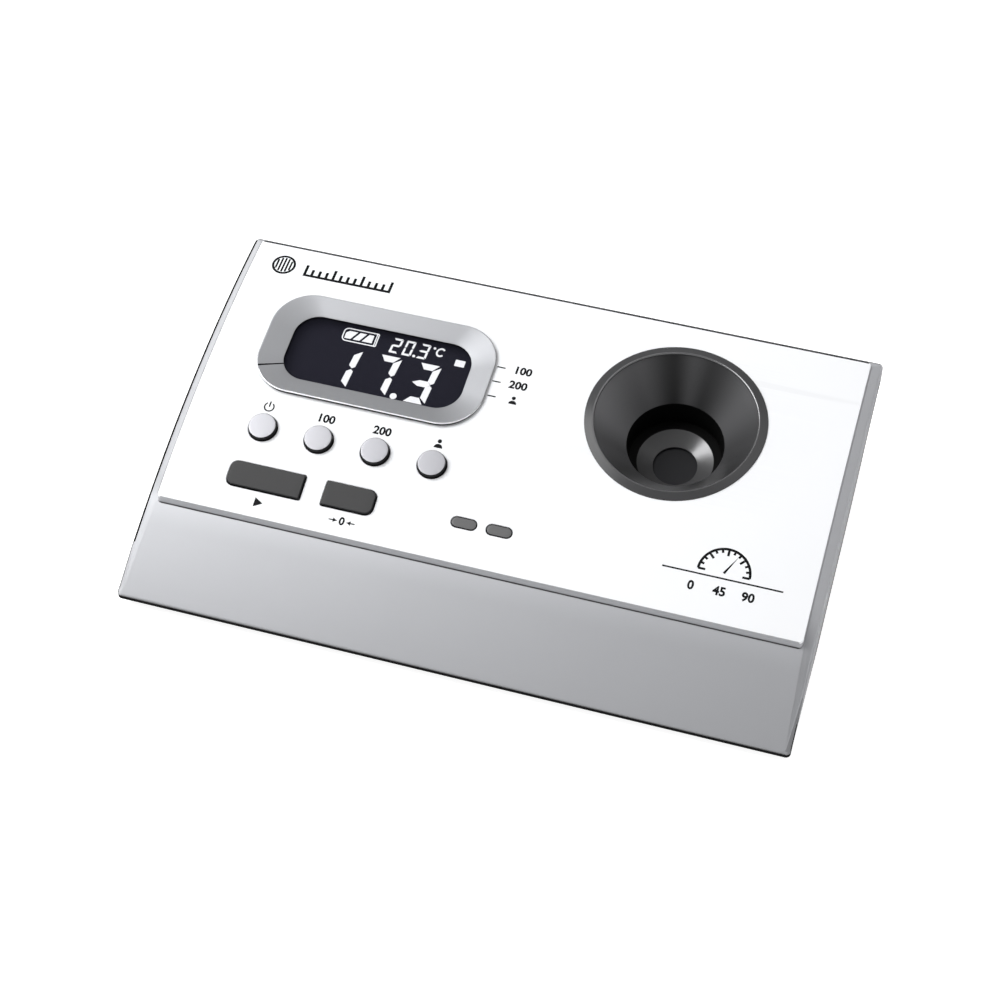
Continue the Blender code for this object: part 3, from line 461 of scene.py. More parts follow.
# The grey of the lamp lenses; also the groove in front of the plateau, as painted shade, and the front wall.
LAMP_GREY_AND_GROOVE_SHADE = surface("lamp_grey", (0.13, 0.13, 0.132), 0.35, grain_depth=0.001 * mm, shine=0.25)
WELL = surface(
    "well_black", (0.055, 0.055, 0.057), 0.24, tint=0.06, grain_size=0.15 * mm, grain_depth=0.001 * mm, shine=0.25
)
RIM = surface("well_rim", (0.18, 0.18, 0.185), 0.24, 0.7, tint=0.04, grain_depth=0.001 * mm, rough_spread=0.03)
BORE = surface("well_bore", (0.003, 0.003, 0.003), 0.6, tint=0.1, grain_depth=0.003 * mm, shine=0.1)
LOWER_CONE = surface("lower_cone", (0.15, 0.15, 0.153), 0.22, 0.5, tint=0.06, grain_depth=0.001 * mm, rough_spread=0.03)
INK = surface("ink", (0.006, 0.006, 0.007), 0.6, tint=0.2, grain_depth=0.001 * mm, shine=0.1)
CHIP = surface("chip_black", (0.02, 0.02, 0.022), 0.55, tint=0.1, grain_size=0.15 * mm)
GREEN = surface("circuit_green", (0.012, 0.11, 0.045), 0.3, tint=0.2, tint_size=3 * mm, Coat_Weight=0.4)
STEEL = surface("steel", (0.60, 0.60, 0.61), 0.3, 1.0, tint=0.04, stretch=(1, 1, 8), wear=0.2)
SPRING = surface("spring_steel", (0.66, 0.64, 0.60), 0.28, 1.0, stretch=(1, 8, 1))
BRASS = surface("brass", (0.70, 0.52, 0.22), 0.26, 1.0, tint=0.06, stretch=(1, 1, 10))
GEAR = surface("gear_white", (0.80, 0.79, 0.74), 0.45, tint=0.03, Subsurface_Weight=0.1)
FILM = glass("polariser_film", (0.06, 0.065, 0.08), 0.7, 0.08)
RUBBER = surface("rubber", (0.018, 0.018, 0.018), 0.85, tint=0.15, cells=True, grain_size=0.3 * mm, wear=0.1)
SLEEVE = surface("battery_sleeve", (0.10, 0.13, 0.18), 0.3, 0.3, tint=0.15, tint_size=8 * mm, Coat_Weight=0.5)


def base_colour(material):
    """The colour socket of a material's shader, and the output that feeds it."""
    socket = material.node_tree.nodes["Principled BSDF"].inputs["Base Color"]
    return socket, socket.links[0].from_socket


def painted_light_on_strips():
    """Painted light: the silver is made up to 1.3 times paler on the strips beside the panel than on the apron."""
    tree = SILVER.node_tree
    socket, base = base_colour(SILVER)
    place = add_node(tree, "TexCoord").outputs["Object"]
    parts = add_node(tree, "SeparateXYZ", {"Vector": place})
    fade = {"From Min": y_on_top(88 * mm), "From Max": y_on_top(74 * mm), "To Min": 1.0, "To Max": 1.3}
    gain = add_node(tree, "MapRange", {"Value": parts.outputs["Y"], **fade}, interpolation_type="SMOOTHSTEP")
    brighter = add_node(tree, "VectorMath", {0: base, "Scale": gain.outputs["Result"]}, operation="SCALE")
    tree.links.new(brighter.outputs["Vector"], socket)


def cone_reflections():
    """Painted reflections on the cone: broad lighter and darker bands up its wall, by angle about the well's axis."""
    made = surface("well_cone_painted_reflections", (0.28, 0.28, 0.29), 0.3, tint=0.06, grain_depth=0.001 * mm, shine=0.12)
    tree = made.node_tree
    socket, base = base_colour(made)
    place = add_node(tree, "TexCoord").outputs["Object"]
    axis = {"Location": on_top(*WELL_CENTRE), "Rotation": (slope_at(WELL_CENTRE[1]), 0, 0)}
    about = add_node(tree, "Mapping", {"Vector": place, **axis}, vector_type="TEXTURE")
    turn = add_node(tree, "TexGradient", {"Vector": about.outputs["Vector"]}, gradient_type="RADIAL")
    bands = add_node(tree, "ValToRGB", {"Fac": turn.outputs["Fac"]})
    bands.color_ramp.interpolation = "EASE"
    stops = bands.color_ramp.elements
    shades = {0: 0.19, 38: 0.36, 75: 0.11, 90: 0.23, 105: 0.08, 135: 0.42}
    shades |= {180: 0.75, 210: 0.38, 240: 0.2, 272: 0.42, 312: 0.07, 345: 0.16}
    for angle, shade in shades.items():
        # The gradient's two ends meet at the left, at 180 degrees.
        ends = [stops[0], stops[len(stops) - 1]] if angle == 180 else [stops.new((angle + 180) % 360 / 360)]
        for stop in ends:
            stop.color = (shade, shade, shade, 1)
    shaded = {"Factor": 1.0, "A": base, "B": bands.outputs["Color"]}
    over = add_node(tree, "Mix", shaded, data_type="RGBA", blend_type="MULTIPLY")
    tree.links.new(over.outputs["Result"], socket)
    return made


CONE = cone_reflections()
painted_light_on_strips()


# ---- Upper case ----
APRON_STEPS = 14
EDGE = 0.36 * mm  # the rounding between walls and top
BAND = 0.56 * mm  # the painted shade line along the left and back edges
BACK_SQUEEZE = 0.25  # the loops are closer together behind the panel, where there is little room
FACET_START_Y = y_on_top(93 * mm)
FACET_WIDTH = 0.95 * mm
FACET_DROP = 0.7 * mm
GROOVE = 0.4 * mm  # depth of the groove in front of the plateau
WALL_BAND = 4 * mm  # how much of the side walls stays upright below their silver part
WALL_LEAN = 0.055
# How far the silver comes down the side walls: least at the back, and how much more this far in front of it.
SILVER_LEAST, SILVER_MORE, SILVER_REACH = mm, 9.5 * mm, 45 * mm
# The strips beside the panel flatten out just in front of the panel, over this length.
STRIP_END_Y, STRIP_FADE, STRIP_FOOT = y_on_top(81 * mm), 9 * mm, 0.3 * mm
CAVITY_FRONT_Y = -47.5 * mm
CAVITY_SIDE = CASE_WALL + 0.4 * mm
# Where the thinner part under the plateau starts and ends along the top, and its half width.
THIN_BACK, THIN_FRONT, THIN_HALF_WIDTH = 2.5 * mm, 78.6 * mm, 80.2 * mm


def wall_height(y):
    """How far the silver side walls come down from the top's edge."""
    return SILVER_LEAST + SILVER_MORE * smooth_step((HALF_DEPTH - y) / SILVER_REACH)


def wall_point(x, y, z):
    """A point of the case's walls. Below their silver part and a dark band the side walls lean in by three degrees."""
    lean = max(0.0, height_at(y, -STEP) - wall_height(y) - WALL_BAND - z) * WALL_LEAN
    return (x * (1 - lean / HALF_WIDTH), y, z)


def foot_lift(x, y):
    """How far the top is raised at the foot of the plateau: a little in front, much more along the two strips."""
    beside = smooth_step((abs(x) - PANEL_HALF_WIDTH + STRIP_FOOT) / STRIP_FOOT)
    return FRONT_RISE + (STRIP_RISE - FRONT_RISE) * beside * smooth_step((y - STRIP_END_Y) / STRIP_FADE)


def facet_share(x, y):
    """How much of the slanted facet there is here: it opens towards the front, on the two sides only."""
    if abs(x) < HALF_WIDTH - CASE_CORNER * 1.01:
        return 0.0
    return min(1.0, max(0.0, (FACET_START_Y - y) / (FACET_START_Y + HALF_DEPTH)))


def case_loop(inset, level_drop):
    """A loop inside the case's outline, below the surface of the strips and the apron."""
    outline = plan_outline(
        -HALF_DEPTH + inset, HALF_DEPTH - inset * BACK_SQUEEZE, HALF_WIDTH - inset, max(0.2 * mm, CASE_CORNER - inset)
    )
    points = []
    for x, y in outline:
        share = facet_share(x, y)
        top = height_at(y, -STEP)
        if inset >= EDGE * 0.99:
            x -= math.copysign(share * FACET_WIDTH, x)
            drop = level_drop
        else:
            drop = level_drop * (1 - share) + share * (FACET_DROP + level_drop * 0.3)
        points.append((x, y, top - min(drop, (top - CASE_LOW.z) * (0.3 + 0.3 * level_drop / EDGE))))
    return points


def plateau_loop(grow, level, groove=0.0):
    """A loop round the plateau that carries the panel. Along its front the loop can be sunk to make a groove."""
    front = y_on_top(PANEL_FRONT + PLATEAU_RIM)
    back = y_on_top(PANEL_BACK - PLATEAU_RIM) + grow * BACK_SQUEEZE
    rim = PLATEAU_RIM + grow
    points = []
    for x, y in plan_outline(front - grow, back, PANEL_HALF_WIDTH + rim, PANEL_CORNER + rim):
        sunk = groove if y < front + 0.02 * mm else 0
        lifted = max(level, -STEP + foot_lift(x, y))
        points.append((x, y, height_at(y, lifted) - sunk))
    return points


def case_skin():
    bottom = CASE_LOW.z
    lip = 0.25 * mm
    deepest = 99 * mm
    inner = plan_outline(-HALF_DEPTH + lip, HALF_DEPTH - lip, HALF_WIDTH - lip, CASE_CORNER - lip)
    outer = plan_outline(-HALF_DEPTH, HALF_DEPTH, HALF_WIDTH, CASE_CORNER)
    loops = [[wall_point(x, y, bottom) for x, y in inner]]
    for share, depth in ((0.08, deepest), (0.18, WALL_BAND), (0.28, 0.0)):
        points = []
        for x, y in outer:
            top = height_at(y, -STEP)
            z = max(bottom + min(share * (top - bottom), 4 * share * mm), top - wall_height(y) - depth)
            points.append(wall_point(x, y, z))
        loops.append(points)
    loops += [case_loop(inset, drop) for inset, drop in rounding(EDGE, (0, 22, 45, 68, 90))]
    loops.append(case_loop(BAND, 0))
    near = loops[-1]
    far = plateau_loop(0.3 * mm, -STEP)
    for i in range(1, APRON_STEPS):
        share = i / APRON_STEPS
        points = []
        for (x0, y0, _), (x1, y1, _) in zip(near, far):
            y = y0 + (y1 - y0) * share
            points.append((x0 + (x1 - x0) * share, y, height_at(y, -STEP + share * foot_lift(x1, y))))
        loops.append(points)
    loops += [
        far,
        plateau_loop(0.24 * mm, -STEP, GROOVE),
        plateau_loop(0.08 * mm, -STEP, GROOVE),
        plateau_loop(0.0, -STEP + FRONT_RISE + 0.05 * mm),
    ]
    loops += [plateau_loop(-inset, PLATEAU_TOP - drop) for inset, drop in rounding(0.04 * mm, (0, 45, 90))]
    return lofted(loops, caps="ladder")


def cavity(back, front, half_width, level, bottom):
    """A space inside the case, whose roof follows the top at this level."""
    line = [(y, height_at(y, level)) for y in spread(back, front, 24)]
    side = [(front, bottom), (back, bottom), *line]
    loops = [[(x, y, z) for y, z in side] for x in (-half_width, half_width)]
    return lofted(loops)


def panel_openings(chamfer=0.0):
    """The holes that the panel and the upper case share."""
    deep, high = -8 * mm, 4 * mm

    def cutter(grown, across, along):
        levels = [(0, deep), (0, -chamfer), (chamfer, 0.0), (chamfer, high)] if chamfer else [(0, deep), (0, high)]
        return moved(stacked([(grown(extra), z) for extra, z in levels]), top_frame(across, along))

    width, depth, corner = (size - 2 * SKIRT_INSET + 2 * GAP for size in BEZEL_SIZE)
    made = [cutter(lambda extra: rounded_box(width, depth, corner), *DISPLAY_CENTRE)]
    for i in range(len(BUTTONS)):
        hole = BUTTON_RADIUS + CAP_CLEARANCE
        made.append(cutter(lambda extra: circle(hole + extra), BUTTON_FIRST + i * BUTTON_PITCH, BUTTON_ALONG))
    for across, size, rounded in KEYS.values():
        made.append(
            cutter(lambda extra, s=size, r=rounded: key_outline(s, r, KEY_CLEARANCE + extra), across, KEY_ALONG)
        )
    for side in (-1, 1):
        made.append(cutter(lambda extra: lamp_outline(LAMP_GAP + extra), side * LAMP_ACROSS, LAMP_ALONG))
    made.append(cutter(lambda extra: circle(WELL_BODY_RADIUS + GAP, WELL_STEPS), *WELL_CENTRE))
    return made


def upper_case():
    case = new_object("upper_shell", case_skin())
    low = cavity(HALF_DEPTH - CASE_WALL, CAVITY_FRONT_Y, HALF_WIDTH - CAVITY_SIDE, -STEP - CASE_WALL, -5 * mm)
    high = cavity(y_on_top(THIN_BACK), y_on_top(THIN_FRONT), THIN_HALF_WIDTH, SHELL_UNDERSIDE, 4 * mm)
    combine(case, "DIFFERENCE", [low, high, *panel_openings()])

    def top_of(middle, level=-STEP):
        return height_at(middle.y, level)

    def outline(middle, normal):
        """The painted shade line along the left and back edges of the top."""
        band = BAND if middle.y > FACET_START_Y else 0.8 * EDGE
        edge = middle.x < -HALF_WIDTH + band or middle.y > HALF_DEPTH - 0.3 * mm
        return edge and middle.z < top_of(middle) + 0.05 * mm

    def wall(middle, normal):
        """The walls below the silver paint."""
        outer = abs(middle.x) > HALF_WIDTH - 2.2 * mm or middle.y > HALF_DEPTH - 0.01 * mm
        below = wall_height(middle.y) if middle.x > HALF_WIDTH - 0.01 * mm else EDGE
        return outer and middle.z < top_of(middle) - below - 0.01 * mm

    def side(middle, normal):
        """The right edge, its facet, and the silver part of the wall below them, in a darker silver that is painted
        shade.
        """
        facet = facet_share(HALF_WIDTH, middle.y) * FACET_WIDTH * 0.75
        return middle.x > HALF_WIDTH - 0.4 * mm - facet and (facet > 0 or normal.z < 0.5)

    def groove(middle, normal):
        """The groove in front of the plateau, darkened as painted shade, and the front wall, which reads as one with
        the black lower case.
        """
        if middle.y < -HALF_DEPTH + 0.12 * mm:
            return True
        near = y_on_top(PANEL_FRONT) - 0.6 * mm < middle.y < y_on_top(PANEL_FRONT)
        foot = top_of(middle, -STEP + FRONT_RISE)
        return near and abs(middle.x) < PANEL_HALF_WIDTH + 0.1 * mm and foot - 0.6 * mm < middle.z < foot - 0.1 * mm

    paint(case, Matrix(), outline, wall, side, groove)
    paints = [SILVER, DARK_WALL_AND_EDGE_SHADE, DARK_WALL_AND_EDGE_SHADE, SHADED_SILVER_SIDE, LAMP_GREY_AND_GROOVE_SHADE]
    dress(case, paints, "console", ["upper_case"], cylinder=0.999)


def panel():
    def loop(shrink, level):
        outline = plan_outline(
            y_on_top(PANEL_FRONT) + shrink,
            y_on_top(PANEL_BACK) - shrink,
            PANEL_HALF_WIDTH - shrink,
            PANEL_CORNER - shrink,
        )
        return at_level(outline, level)

    edge, border = 0.15 * mm, 0.5 * mm
    loops = [loop(0, -PANEL_THICKNESS)]
    loops += [loop(inset, -drop) for inset, drop in rounding(edge, (0, 30, 60, 90))]
    loops.append(loop(border, 0))
    plate = new_object("printed_panel", lofted(loops, caps="ladder"))
    combine(plate, "DIFFERENCE", panel_openings(0.12 * mm))
    last = y_on_top(PANEL_BACK + border - 0.01 * mm)
    first, right = y_on_top(PANEL_FRONT) + 0.05 * mm, PANEL_HALF_WIDTH - 0.05 * mm
    paint(
        plate,
        Matrix(),
        lambda middle, normal: middle.y > last or middle.x < -PANEL_HALF_WIDTH + edge,
        lambda middle, normal: middle.y < first or middle.x > right,
    )
    dress(plate, [WHITE, SHADE, SILVER], "console", ["fascia_plate"], cylinder=0.995)


# ---- Display ----
CREASE_ANGLE = 206.5
CREASE_HALF = 1.5
CORNER_STEPS = 16
CREASE_POINT = 2 * (CORNER_STEPS + 1) + sum(a < CREASE_ANGLE for a in spread(180, 270, CORNER_STEPS)) + 1
WINDOW_SHIFT = (0.1 * mm, -0.05 * mm)
# How high the foot of the bezel's outer wall is painted shade.
SHADED_FOOT_TOP = 0.5 * mm


def creased_box(width, depth, corner):
    """A rounded rectangle with three close points in its front left corner, for the mitre line."""
    crease = (CREASE_ANGLE - CREASE_HALF, CREASE_ANGLE, CREASE_ANGLE + CREASE_HALF)
    return rounded_box(width, depth, corner, CORNER_STEPS, extra={2: crease})


def bezel_loop(share, z, inset=0.0, crease=0.0):
    """A loop between the bezel's outer edge (0) and its window (1). The mitre line is sunk into it by crease."""
    sizes = [a + (b - a) * share - 2 * inset for a, b in zip(BEZEL_SIZE[:2], WINDOW_SIZE[:2])]
    corner = BEZEL_SIZE[2] + (WINDOW_SIZE[2] - BEZEL_SIZE[2]) * share - inset
    dx, dy = (offset * share for offset in WINDOW_SHIFT)
    outline = creased_box(*sizes, corner)
    return [(x + dx, y + dy, z - (crease if i == CREASE_POINT else 0)) for i, (x, y) in enumerate(outline)]


def on_panel(outline):
    """A loop that follows the curved panel, a hair above it."""
    return [(x, y, 0.1 * mm - y * y / (2 * TOP_RADIUS)) for x, y in outline]


def bezel():
    crest, lip, under, foot = 0.75 * mm, -0.8 * mm, -1.2 * mm, -2.6 * mm
    shaded_foot = creased_box(BEZEL_SIZE[0] - 0.3 * mm, BEZEL_SIZE[1] - 0.3 * mm, BEZEL_SIZE[2] - 0.15 * mm)
    loops = [on_panel(shaded_foot), flat_at(shaded_foot, SHADED_FOOT_TOP - 0.08 * mm), bezel_loop(0, SHADED_FOOT_TOP)]
    loops += [bezel_loop(0, crest - drop, inset) for inset, drop in rounding(0.22 * mm, (0, 30, 60, 90))]
    start, end, depth = 0.05, 0.975, 0.25 * mm  # where the dished face starts and ends, and the mitre line's depth
    for share in (0, 0.25, 0.5, 0.75, 1):
        z = crest + (lip + 0.06 * mm - crest) * share
        loops.append(bezel_loop(start + (end - start) * share, z, crease=depth))
    loops.append(bezel_loop(1, lip - 0.06 * mm))
    loops.append(bezel_loop(1, under))
    seat = creased_box(*(size + 2 * GAP for size in LENS_SIZE))
    loops += [flat_at(seat, under), flat_at(seat, foot)]
    skirt = creased_box(*(size - turns * SKIRT_INSET for size, turns in zip(BEZEL_SIZE, (2, 2, 1))))
    loops += [flat_at(skirt, foot), on_panel(skirt)]
    place = top_frame(*DISPLAY_CENTRE)
    made = new_object("bezel", lofted(loops, ring=True), place)

    def outer(middle):
        """Whether a face belongs to the bezel's outer edge, which carries a painted highlight."""
        x, y = (abs(value) - size / 2 + BEZEL_SIZE[2] for value, size in zip(middle.xy, BEZEL_SIZE))
        return (math.hypot(x, y) if min(x, y) > 0 else max(x, y)) > BEZEL_SIZE[2] - 0.2 * mm

    paint(
        made,
        place,
        # The foot of the bezel's outer wall: painted shade.
        lambda middle, normal: middle.z < SHADED_FOOT_TOP + 0.01 * mm and normal.z < 0.5,
        # The front of the outer rounding: a painted highlight.
        lambda middle, normal: middle.z > SHADED_FOOT_TOP and normal.y < -0.15 and normal.z < 0.97 and outer(middle),
    )
    count = len(shaded_foot)
    dished = range(6, 12)  # the rings of faces that the mitre line crosses
    for face in made.data.polygons:
        if face.index // count in dished and face.index % count in (CREASE_POINT - 1, CREASE_POINT):
            face.material_index = 1
    dress(made, [METAL, SHADE, EDGE_HIGHLIGHT], "console", ["display_bezel"], sharp=28)


def window():
    low, high = -2.4 * mm, -1.4 * mm
    edge = 0.12 * mm
    width, depth, corner = LENS_SIZE
    small = rounded_box(width - 2 * edge, depth - 2 * edge, corner - edge, steps=16)
    full = rounded_box(width, depth, corner, steps=16)
    levels = [(small, low), (full, low + edge), (full, high - edge), (small, high)]
    made = new_object("lens", stacked(levels), top_frame(*DISPLAY_CENTRE))
    dress(made, LENS, "console", ["display_window"])


# A seven-segment figure: which of its bars each numeral lights.
BARS = {"0": "abcdef", "1": "bc", "2": "abged", "3": "abgcd", "7": "abc"}
LEAN = 0.09
BATTERY_SYMBOL = (-7.35 * mm, 7.55 * mm)


def bar_outline(bar, w, h, t):
    """One bar of a figure with half width w, half height h and thickness t."""
    g = 0.1 * t
    if bar in "ad":
        points = [(-w, h), (w - 0.35 * t, h), (w - t - g, h - t), (-w + 0.75 * t, h - t)]
        return points if bar == "a" else [(x, -y) for x, y in points[::-1]]
    if bar == "g":
        tip, half = w - 0.45 * t, t / 2
        start, end = -w + 0.9 * t, tip - 0.5 * t
        return [(-w, 0), (start, -half), (end, -half), (tip, 0), (end, half), (start, half)]
    points = [
        (w, h - 0.3 * t),
        (w - 0.2 * t, h - 0.45 * t),
        (w - t, h - t - g),
        (w - t, 0.45 * t + g),
        (w - 0.45 * t, g),
        (w - 0.05 * t, 0.3 * t + g),
    ]
    across, up = (-1 if bar in "ef" else 1), (-1 if bar in "ce" else 1)
    points = [(across * x, up * y) for x, y in points]
    return points if across * up > 0 else points[::-1]


def numeral(character, width, height, thick):
    """Outlines of a numeral's lit bars about its centre, leaning to the right."""
    outlines = [bar_outline(bar, width / 2, height / 2, thick) for bar in BARS[character]]
    return [[(x + LEAN * y, y) for x, y in outline] for outline in outlines]


def shifted(outline, dx, dy):
    return [(x + dx, y + dy) for x, y in outline]


def figure_outlines():
    """Everything that is lit on the display, about its centre, with Y up."""
    lit = []
    big_y, big = -2.5 * mm, (5.6 * mm, 12.4 * mm, 1.8 * mm)
    for character, x in (("1", -8.5 * mm), ("7", 2.15 * mm), ("3", 12.8 * mm)):
        lit += [shifted(outline, x, big_y) for outline in numeral(character, *big)]
    lit.append(circle(0.9 * mm, 24, (6.6 * mm, -7.95 * mm)))

    small_y, small = 7.15 * mm, (2.5 * mm, 4.65 * mm, 0.58 * mm)
    for character, x in (("2", 2.6 * mm), ("0", 6.05 * mm), ("3", 10.1 * mm)):
        lit += [shifted(outline, x, small_y) for outline in numeral(character, *small)]
    lit.append(circle(0.4 * mm, 16, (7.95 * mm, small_y - 1.95 * mm)))
    lit.append(circle(0.36 * mm, 16, (12.6 * mm, small_y + 1.65 * mm)))  # the degree sign
    letter = arc((0, 0), 1.42 * mm, spread(40, 320, 20)) + arc((0, 0), 0.9 * mm, spread(320, 40, 20))
    lit.append([(14.45 * mm + x * 0.85 + y * LEAN, small_y + 0.75 * mm + y) for x, y in letter])
    lit.append(shifted(rounded_box(2.6 * mm, 1.95 * mm, 0.1 * mm, 3), 20.25 * mm, 5.8 * mm))
    return lit + battery_outlines(*BATTERY_SYMBOL)


def battery_outlines(x, y):
    """A battery symbol's three slanted bars and the line of its cap. battery_frame draws its outline."""
    half = 1.2 * mm
    bars = [
        [(-4.05, -half), (-2.4, -half), (-1.0, half), (-3.2, half), (-4.05, half * 0.4)],
        [(-1.7, -half), (0.05, -half), (1.45, half), (-0.3, half)],
        [(0.75, -half), (3.45, -half), (3.45, half), (2.15, half)],
        [(4.05, -1.9 * mm), (4.3, -1.9 * mm), (4.3, 1.9 * mm), (4.05, 1.9 * mm)],
    ]
    return [[(px * mm + x, py + y) for px, py in outline] for outline in bars]


def battery_frame(x, y, low, high):
    width, depth, line = 9.6 * mm, 4.2 * mm, 0.3 * mm
    outer = rounded_box(width, depth, (0.4 * mm, 1.3 * mm, 1.3 * mm, 0.4 * mm), 6)
    inner = rounded_box(width - 2 * line, depth - 2 * line, (0.2 * mm, 1.0 * mm, 1.0 * mm, 0.2 * mm), 6)
    outer, inner = shifted(outer, x, y), shifted(inner, x, y)
    return stacked([(outer, low), (outer, high), (inner, high), (inner, low)], ring=True)


def display_figures():
    low, high = LCD_TOP + 0.01 * mm, LCD_TOP + 0.06 * mm
    shapes = [prism(outline, low, high) for outline in figure_outlines()]
    shapes.append(battery_frame(*BATTERY_SYMBOL, low, high))
    nudge = Matrix.Translation((-0.1 * mm, 0.45 * mm, 0))
    made = new_object("display_figures", joined(shapes), top_frame(*DISPLAY_CENTRE) @ nudge)
    dress(made, FIGURES, "console")


# ---- Buttons, keys and lamps ----
def key_outline(width, rounded, grow=0.0):
    corner, sharp = KEY_CORNER + grow, 0.25 * mm + grow
    left, right = (corner, sharp) if rounded == "left" else (sharp, corner)
    return rounded_box(width + 2 * grow, KEY_DEPTH + 2 * grow, (right, left, left, right), steps=8)


def lamp_outline(grow=0.0):
    length, breadth = (size + 2 * grow for size in LAMP_SIZE)
    return rounded_box(length, breadth, breadth / 2 - 0.01 * mm, steps=10)


def paint(obj, place, *tests):
    """Gives material 1, 2... to the faces that the first, second... test picks, in the piece's own frame."""
    inverse = place.inverted()
    for face in obj.data.polygons:
        middle, normal = inverse @ face.center, inverse.to_3x3() @ face.normal
        face.material_index = next((i + 1 for i, test in enumerate(tests) if test(middle, normal)), 0)


def round_buttons():
    flange_top = SHELL_UNDERSIDE - GAP
    foot = flange_top - 0.75 * mm
    flange = BUTTON_RADIUS + CAP_CLEARANCE + CAP_FLANGE
    edge, dome = 0.2 * mm, 0.04 * mm
    profile = [(0, foot), (flange, foot), (flange, flange_top), (BUTTON_RADIUS, flange_top)]
    profile += arc((BUTTON_RADIUS - edge, BUTTON_TOP - dome - edge), edge, spread(0, 90, 5))
    for i in range(1, 6):
        share = i / 6
        profile.append(((BUTTON_RADIUS - edge) * (1 - share), BUTTON_TOP - dome * (1 - share) ** 2))
    profile.append((0, BUTTON_TOP))
    for i, name in enumerate(BUTTONS):
        place = top_frame(BUTTON_FIRST + i * BUTTON_PITCH, BUTTON_ALONG)
        cap = new_object(f"{name}_cap", turned(profile, 72), place)
        # The side and the rounding of the top are painted near black; on the rounding this is painted shade.
        paint(cap, place, lambda middle, normal: normal.z < 0.95)
        dress(cap, [CAP, CAP_SIDE], name, [name])


def long_keys():
    flange_top, flange = SHELL_UNDERSIDE - GAP, mm
    edge, dome, reach = 0.22 * mm, 0.06 * mm, 2.4 * mm
    for name, (across, width, rounded) in KEYS.items():
        low = key_outline(width, rounded, CAP_CLEARANCE + CAP_FLANGE)
        cap = key_outline(width, rounded)
        levels = [(low, flange_top - flange), (low, flange_top), (cap, flange_top)]
        for inset, drop in rounding(edge, spread(0, 90, 4)):
            levels.append((shrunk(cap, width, KEY_DEPTH, inset), KEY_TOP - dome - drop))
        for share in (0.35, 0.7):
            outline = shrunk(cap, width, KEY_DEPTH, edge + share * reach)
            levels.append((outline, KEY_TOP - dome * (1 - share) ** 2))
        place = top_frame(across, KEY_ALONG)
        key = new_object(f"{name}_cap", stacked(levels), place)
        # The side and part of the edge rounding are painted near black; on the rounding this is painted shade.
        paint(key, place, lambda middle, normal: normal.z < 0.8)
        dress(key, [KEY, KEY_SIDE], name, [name])


def shrunk(outline, width, depth, inset):
    return [(x * (1 - 2 * inset / width), y * (1 - 2 * inset / depth)) for x, y in outline]


def lamps():
    low, high, dome = -3.4 * mm, 0.05 * mm, 0.15 * mm
    outline = lamp_outline()
    levels = [(outline, low), (outline, high - dome)]
    levels += [(shrunk(outline, *LAMP_SIZE, i * 0.12 * mm), high - dome / (i + 1)) for i in (1, 2)]
    levels += [(shrunk(outline, *LAMP_SIZE, 0.8 * mm), high)]
    for side, word in ((-1, "left"), (1, "right")):
        place = top_frame(side * LAMP_ACROSS, LAMP_ALONG)
        lens = new_object(f"lamp_{word}", stacked(levels), place)
        paint(lens, place, lambda middle, normal: normal.z < 0.9)
        dress(lens, [LAMP_GREY_AND_GROOVE_SHADE, SHADE], "console", [f"lamp_lens_{word}"])


# ---- Sample well ----
def sample_well():
    place = top_frame(*WELL_CENTRE)
    crest, bead = 0.7 * mm, 0.2 * mm
    lip_radius, cone_top, body_foot = 22.85 * mm, 20.3 * mm, -6 * mm
    bore_start, bore_end = -11.1 * mm, -19.1 * mm
    wall = BORE_RADIUS + 1.3 * mm
    lip = arc((lip_radius - bead, 0.05 * mm), bead, spread(0, 65, 8))
    inner_edge = arc((cone_top + 0.5 * mm, crest - 0.45 * mm), 0.45 * mm, spread(76, 210, 10))
    knee = arc((BORE_RADIUS + 0.5 * mm, bore_start - 0.15 * mm), 0.5 * mm, spread(140, 180, 4))
    profile = [
        (WELL_BODY_RADIUS, body_foot),
        (WELL_BODY_RADIUS, 0.03 * mm),
        (lip_radius, 0.03 * mm),
        *lip,
        *inner_edge,
        *knee,
        (BORE_RADIUS, bore_end),
        (wall, bore_end),
        (wall, bore_start - 0.6 * mm),
        (cone_top - 1.2 * mm, body_foot),
    ]
    shape = turned(profile, WELL_STEPS)
    for vert in shape.verts:
        bend = smooth_step((vert.co.z - body_foot) / (5 * mm))  # the lip lies on the curved panel
        vert.co.z -= bend * vert.co.y**2 / (2 * TOP_RADIUS)
    funnel = new_object("funnel", shape, place)
    reach = BORE_RADIUS + 0.06 * mm
    paint(
        funnel,
        place,
        lambda middle, normal: math.hypot(middle.x, middle.y) < reach and middle.z < bore_start - 0.1 * mm,
        lambda middle, normal: math.hypot(middle.x, middle.y) < cone_top,
        lambda middle, normal: math.hypot(middle.x, middle.y) < cone_top + 0.45 * mm and middle.z > -2 * mm,
    )
    dress(funnel, [WELL, BORE, CONE, RIM], "console", ["well_funnel"], sharp=40)
    lower_cone(place, bore_end + 0.1 * mm, wall)


